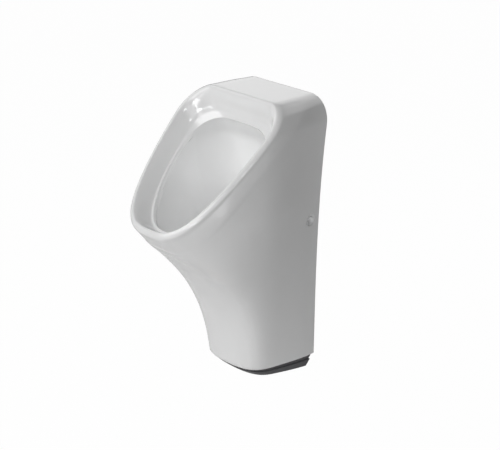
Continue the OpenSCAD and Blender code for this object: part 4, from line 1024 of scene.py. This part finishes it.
# Wall brackets: two angles folded from 3 mm galvanised steel, screwed to the wall through their
# slots' round holes, each with a nut welded behind its side flange for the side screw.
def kept(material, *names):
    """Gives CAD pieces whose shape is right their real finish."""
    for name in names:
        piece = cad_nodes[name]
        piece.data.materials.clear()
        piece.data.materials.append(material)
        piece.data.shade_smooth()
        piece.data.set_sharp_from_angle(angle=math.radians(30))


zinc_steel = surface("zinc_plated_steel", (0.50, 0.51, 0.52), (0.66, 0.67, 0.68), (0.3, 0.5),
                     grain_scale=120.0, relief=0.0001, tone_scale=60.0, metallic=1.0)
kept(zinc_steel, "wall_bracket_left", "wall_bracket_right")

# Side fixings: a nylon bush lines each side hole, a socket screw draws the ceramic to the bracket
# through it, and a white dished cap plugs the hole just below the glaze.
kept(white_plastic, "side_bushes")
kept(brushed_steel, "side_screw_left", "side_screw_right")
cap_plastic = surface("cap_white", (0.88, 0.885, 0.89), (0.93, 0.935, 0.94), (0.16, 0.26),
                      grain_scale=500.0)
CAP_R, CAP_T, CAP_SINK, PLUG_OUT_R, PLUG_IN = 8.2, 2.5, 1.5, 7.45, 2
DISH_R, DISH_DEPTH = 7.3, 3.7
for side, name in ((-1, "left"), (1, "right")):
    dish = [(r, CAP_T - DISH_DEPTH * (1 - (r / DISH_R) ** 2))
            for r in np.linspace(DISH_R - 0.1, AXIS_R, 14)]
    cap = turned("cap_" + name, [
        (AXIS_R, -PLUG_IN), (PLUG_OUT_R, -PLUG_IN), (PLUG_OUT_R, 0), (CAP_R, 0), (CAP_R, CAP_T - 0.5),
        (CAP_R - 0.15, CAP_T - 0.15), (CAP_R - 0.5, CAP_T), *dish], around=64)
    cap_foot = side * (side_x - CAP_SINK - CAP_T) / 1000
    placed(cap, (cap_foot, -SIDE_HOLE_D / 1000, 0), (side, 0, 0))
    dressed(cap, cap_plastic, "side_cap_" + name, "cap_plastic", "side_cap_" + name)

# Bottom cover: a dark grey tray, injection moulded with a fine grain. It follows the foot's
# outline and slope, with a narrow ledge round its side, and draws in to a flat floor.
cover_plastic = surface("dark_grey_grain", (0.075, 0.075, 0.08), (0.11, 0.11, 0.115), (0.4, 0.6),
                        grain_scale=1100.0, relief=0.0002)
COVER_GAP, COVER_INSET, COVER_DROP, COVER_WALL = 1.5, 3, 15, 2.5
COVER_SIDE, COVER_BACK, COVER_FRONT = 6, 14, 19


def cover_ring(s, tuck=0.0, wall=0.0, lift=0.0):
    """The tray's section from under the foot (s = 0) to its floor (s = 1), drawn in by tuck and wall."""
    back = mix(point(COVER_INSET / 2, FOOT_RISE - COVER_GAP), point(COVER_BACK, -COVER_DROP), s)
    nose = mix(point(FOOT_D - COVER_INSET, -COVER_GAP), point(FOOT_D - COVER_FRONT, -COVER_DROP), s)
    narrow = COVER_INSET + COVER_SIDE * s + tuck
    return body_ring(back + (wall + tuck, lift), nose + (-wall - tuck, lift), FOOT_CLOSE, narrow, 0, wall)


tray = [cover_ring(s, tuck) for s, tuck in (
    (1, 30), (1, 12), (1, 3), (1, 1.2), (0.985, 0.4), (0.96, 0.1), (0.92, 0), (0.7, 0), (0.5, 0), (0.43, 0),
    (0.41, 0.15), (0.40, 0.4), (0.395, 1.9), (0.38, 2.2), (0.2, 2.2), (0.05, 2.2), (0.01, 2.4), (0, 2.7))]
tray += [cover_ring(s, tuck, COVER_WALL, COVER_WALL * lift) for s, tuck, lift in (
    (0, 0, 0), (0.2, 0, 0), (0.6, 0, 0), (0.9, 0, 0), (0.98, 0.5, 0.6), (1, 1.6, 1), (1, 12, 1))]
dressed(lofted("drip_tray", tray), cover_plastic, "cover", "cover_plastic", "bottom_cover", sharp=40)

# Spring clips: four strips of stainless spring steel on the tray's floor, bent to press outwards
# on the skirt's inner walls and hold the tray up.
kept(brushed_steel, "cover_clips")

# Studio: a white floor and white paper for the camera, which reflections see much dimmer, and soft
# boxes round the object: a key on the left, a wide bank in front, and weak ones above, at the right
# and behind. Two windows and a glint in front shine in the glaze alone.
ROOM_GLOW, PAPER_SHINE = 0.045, 0.3
WHITE = (1, 1, 1, 1)
world = bpy.data.worlds.new("studio")
scene.world = world
world.use_nodes = True
air = world.node_tree
air.nodes.clear()


def seen_by(tree, *ray_kinds):
    """1 for rays of these kinds, 0 for the rest."""
    rays = add_node(tree, "ShaderNodeLightPath")
    total = rays.outputs[ray_kinds[0]]
    for kind in ray_kinds[1:]:
        either = add_node(tree, "ShaderNodeMath", operation="MAXIMUM")
        tree.links.new(total, either.inputs[0])
        tree.links.new(rays.outputs[kind], either.inputs[1])
        total = either.outputs[0]
    return total


def with_shine(tree):
    """A sum of its third input and the share of white that reflections see."""
    total = add_node(tree, "ShaderNodeMath", operation="MULTIPLY_ADD")
    tree.links.new(seen_by(tree, "Is Glossy Ray"), total.inputs[0])
    total.inputs[1].default_value = PAPER_SHINE
    return total


room = add_node(air, "ShaderNodeBackground", Color=WHITE)
paper = add_node(air, "ShaderNodeBackground", Color=WHITE, Strength=1.0)
glow = with_shine(air)
glow.inputs[2].default_value = ROOM_GLOW
choose = add_node(air, "ShaderNodeMixShader")
out = add_node(air, "ShaderNodeOutputWorld")
air.links.new(glow.outputs[0], room.inputs["Strength"])
air.links.new(seen_by(air, "Is Camera Ray", "Is Transmission Ray"), choose.inputs[0])
air.links.new(room.outputs[0], choose.inputs[1])
air.links.new(paper.outputs[0], choose.inputs[2])
air.links.new(choose.outputs[0], out.inputs["Surface"])

FLOOR_BELOW, FLOOR_REACH, FLOOR_SHARE = 0.335, 7, 0.985
floor = object_of("floor", [(x * FLOOR_REACH, y * FLOOR_REACH, -FIX_HEIGHT - FLOOR_BELOW)
                            for x, y in ((-1, -1), (1, -1), (1, 1), (-1, 1))], [(0, 1, 2, 3)])
floor_paint = new_material("pale_floor", (0.85, 0.85, 0.85), 0.9)
tree = floor_paint.node_tree
lit = add_node(tree, "ShaderNodeEmission", Color=WHITE, Strength=1.0)
part = add_node(tree, "ShaderNodeMath", operation="MULTIPLY")
part.inputs[1].default_value = FLOOR_SHARE
lit_share = with_shine(tree)
blend = add_node(tree, "ShaderNodeMixShader")
tree.links.new(seen_by(tree, "Is Camera Ray", "Is Transmission Ray"), part.inputs[0])
tree.links.new(part.outputs[0], lit_share.inputs[2])
tree.links.new(lit_share.outputs[0], blend.inputs[0])
tree.links.new(shader_of(floor_paint).outputs[0], blend.inputs[1])
tree.links.new(lit.outputs[0], blend.inputs[2])
tree.links.new(blend.outputs[0], tree.nodes["Material Output"].inputs["Surface"])
floor.data.materials.append(floor_paint)

LAMP_DISTANCE = 2.4
LAMP_AIM = Vector((0, -0.15, 0))
for name, azimuth, elevation, width, height, watts, shine_only in (
        ("key", -86, 38, 1.1, 1.1, 6.4, False),
        ("high", -60, 66, 1.2, 1.2, 1.5, False),
        ("bank", -5, 32, 3.2, 1.2, 42, False),
        ("right_low", 65, 0, 1.2, 1.2, 7, False),
        ("back", 180, 35, 1.4, 1.4, 6, False),
        ("back_left", -140, 28, 1.4, 1.4, 6, False),
        ("window", 38, 3, 1.0, 0.6, 14, True),
        ("window_bar", 6, 5, 1.5, 0.2, 5, True),
        ("glint", 70, 20, 0.3, 0.3, 3, True)):
    turn, tilt = math.radians(azimuth), math.radians(elevation)
    way = Vector((math.sin(turn) * math.cos(tilt), -math.cos(turn) * math.cos(tilt), math.sin(tilt)))
    box = bpy.data.lights.new(name, "AREA")
    box.shape = "RECTANGLE"
    box.size, box.size_y = width, height
    box.energy = watts
    lamp = bpy.data.objects.new(name, box)
    scene.collection.objects.link(lamp)
    lamp.location = LAMP_AIM + LAMP_DISTANCE * way
    lamp.rotation_euler = way.to_track_quat("Z", "Y").to_euler()
    lamp.visible_camera = False
    lamp.visible_diffuse = not shine_only

# The light that a real white bowl passes on between its walls many times over
bowl_light = bpy.data.lights.new("bowl_glow", "POINT")
bowl_light.energy = 0.037
bowl_light.shadow_soft_size = 0.03
bowl_glow = bpy.data.objects.new("bowl_glow", bowl_light)
scene.collection.objects.link(bowl_glow)
bowl_glow.location = (-0.03, -0.14, 0.08)
bowl_glow.visible_camera = bowl_glow.visible_glossy = False
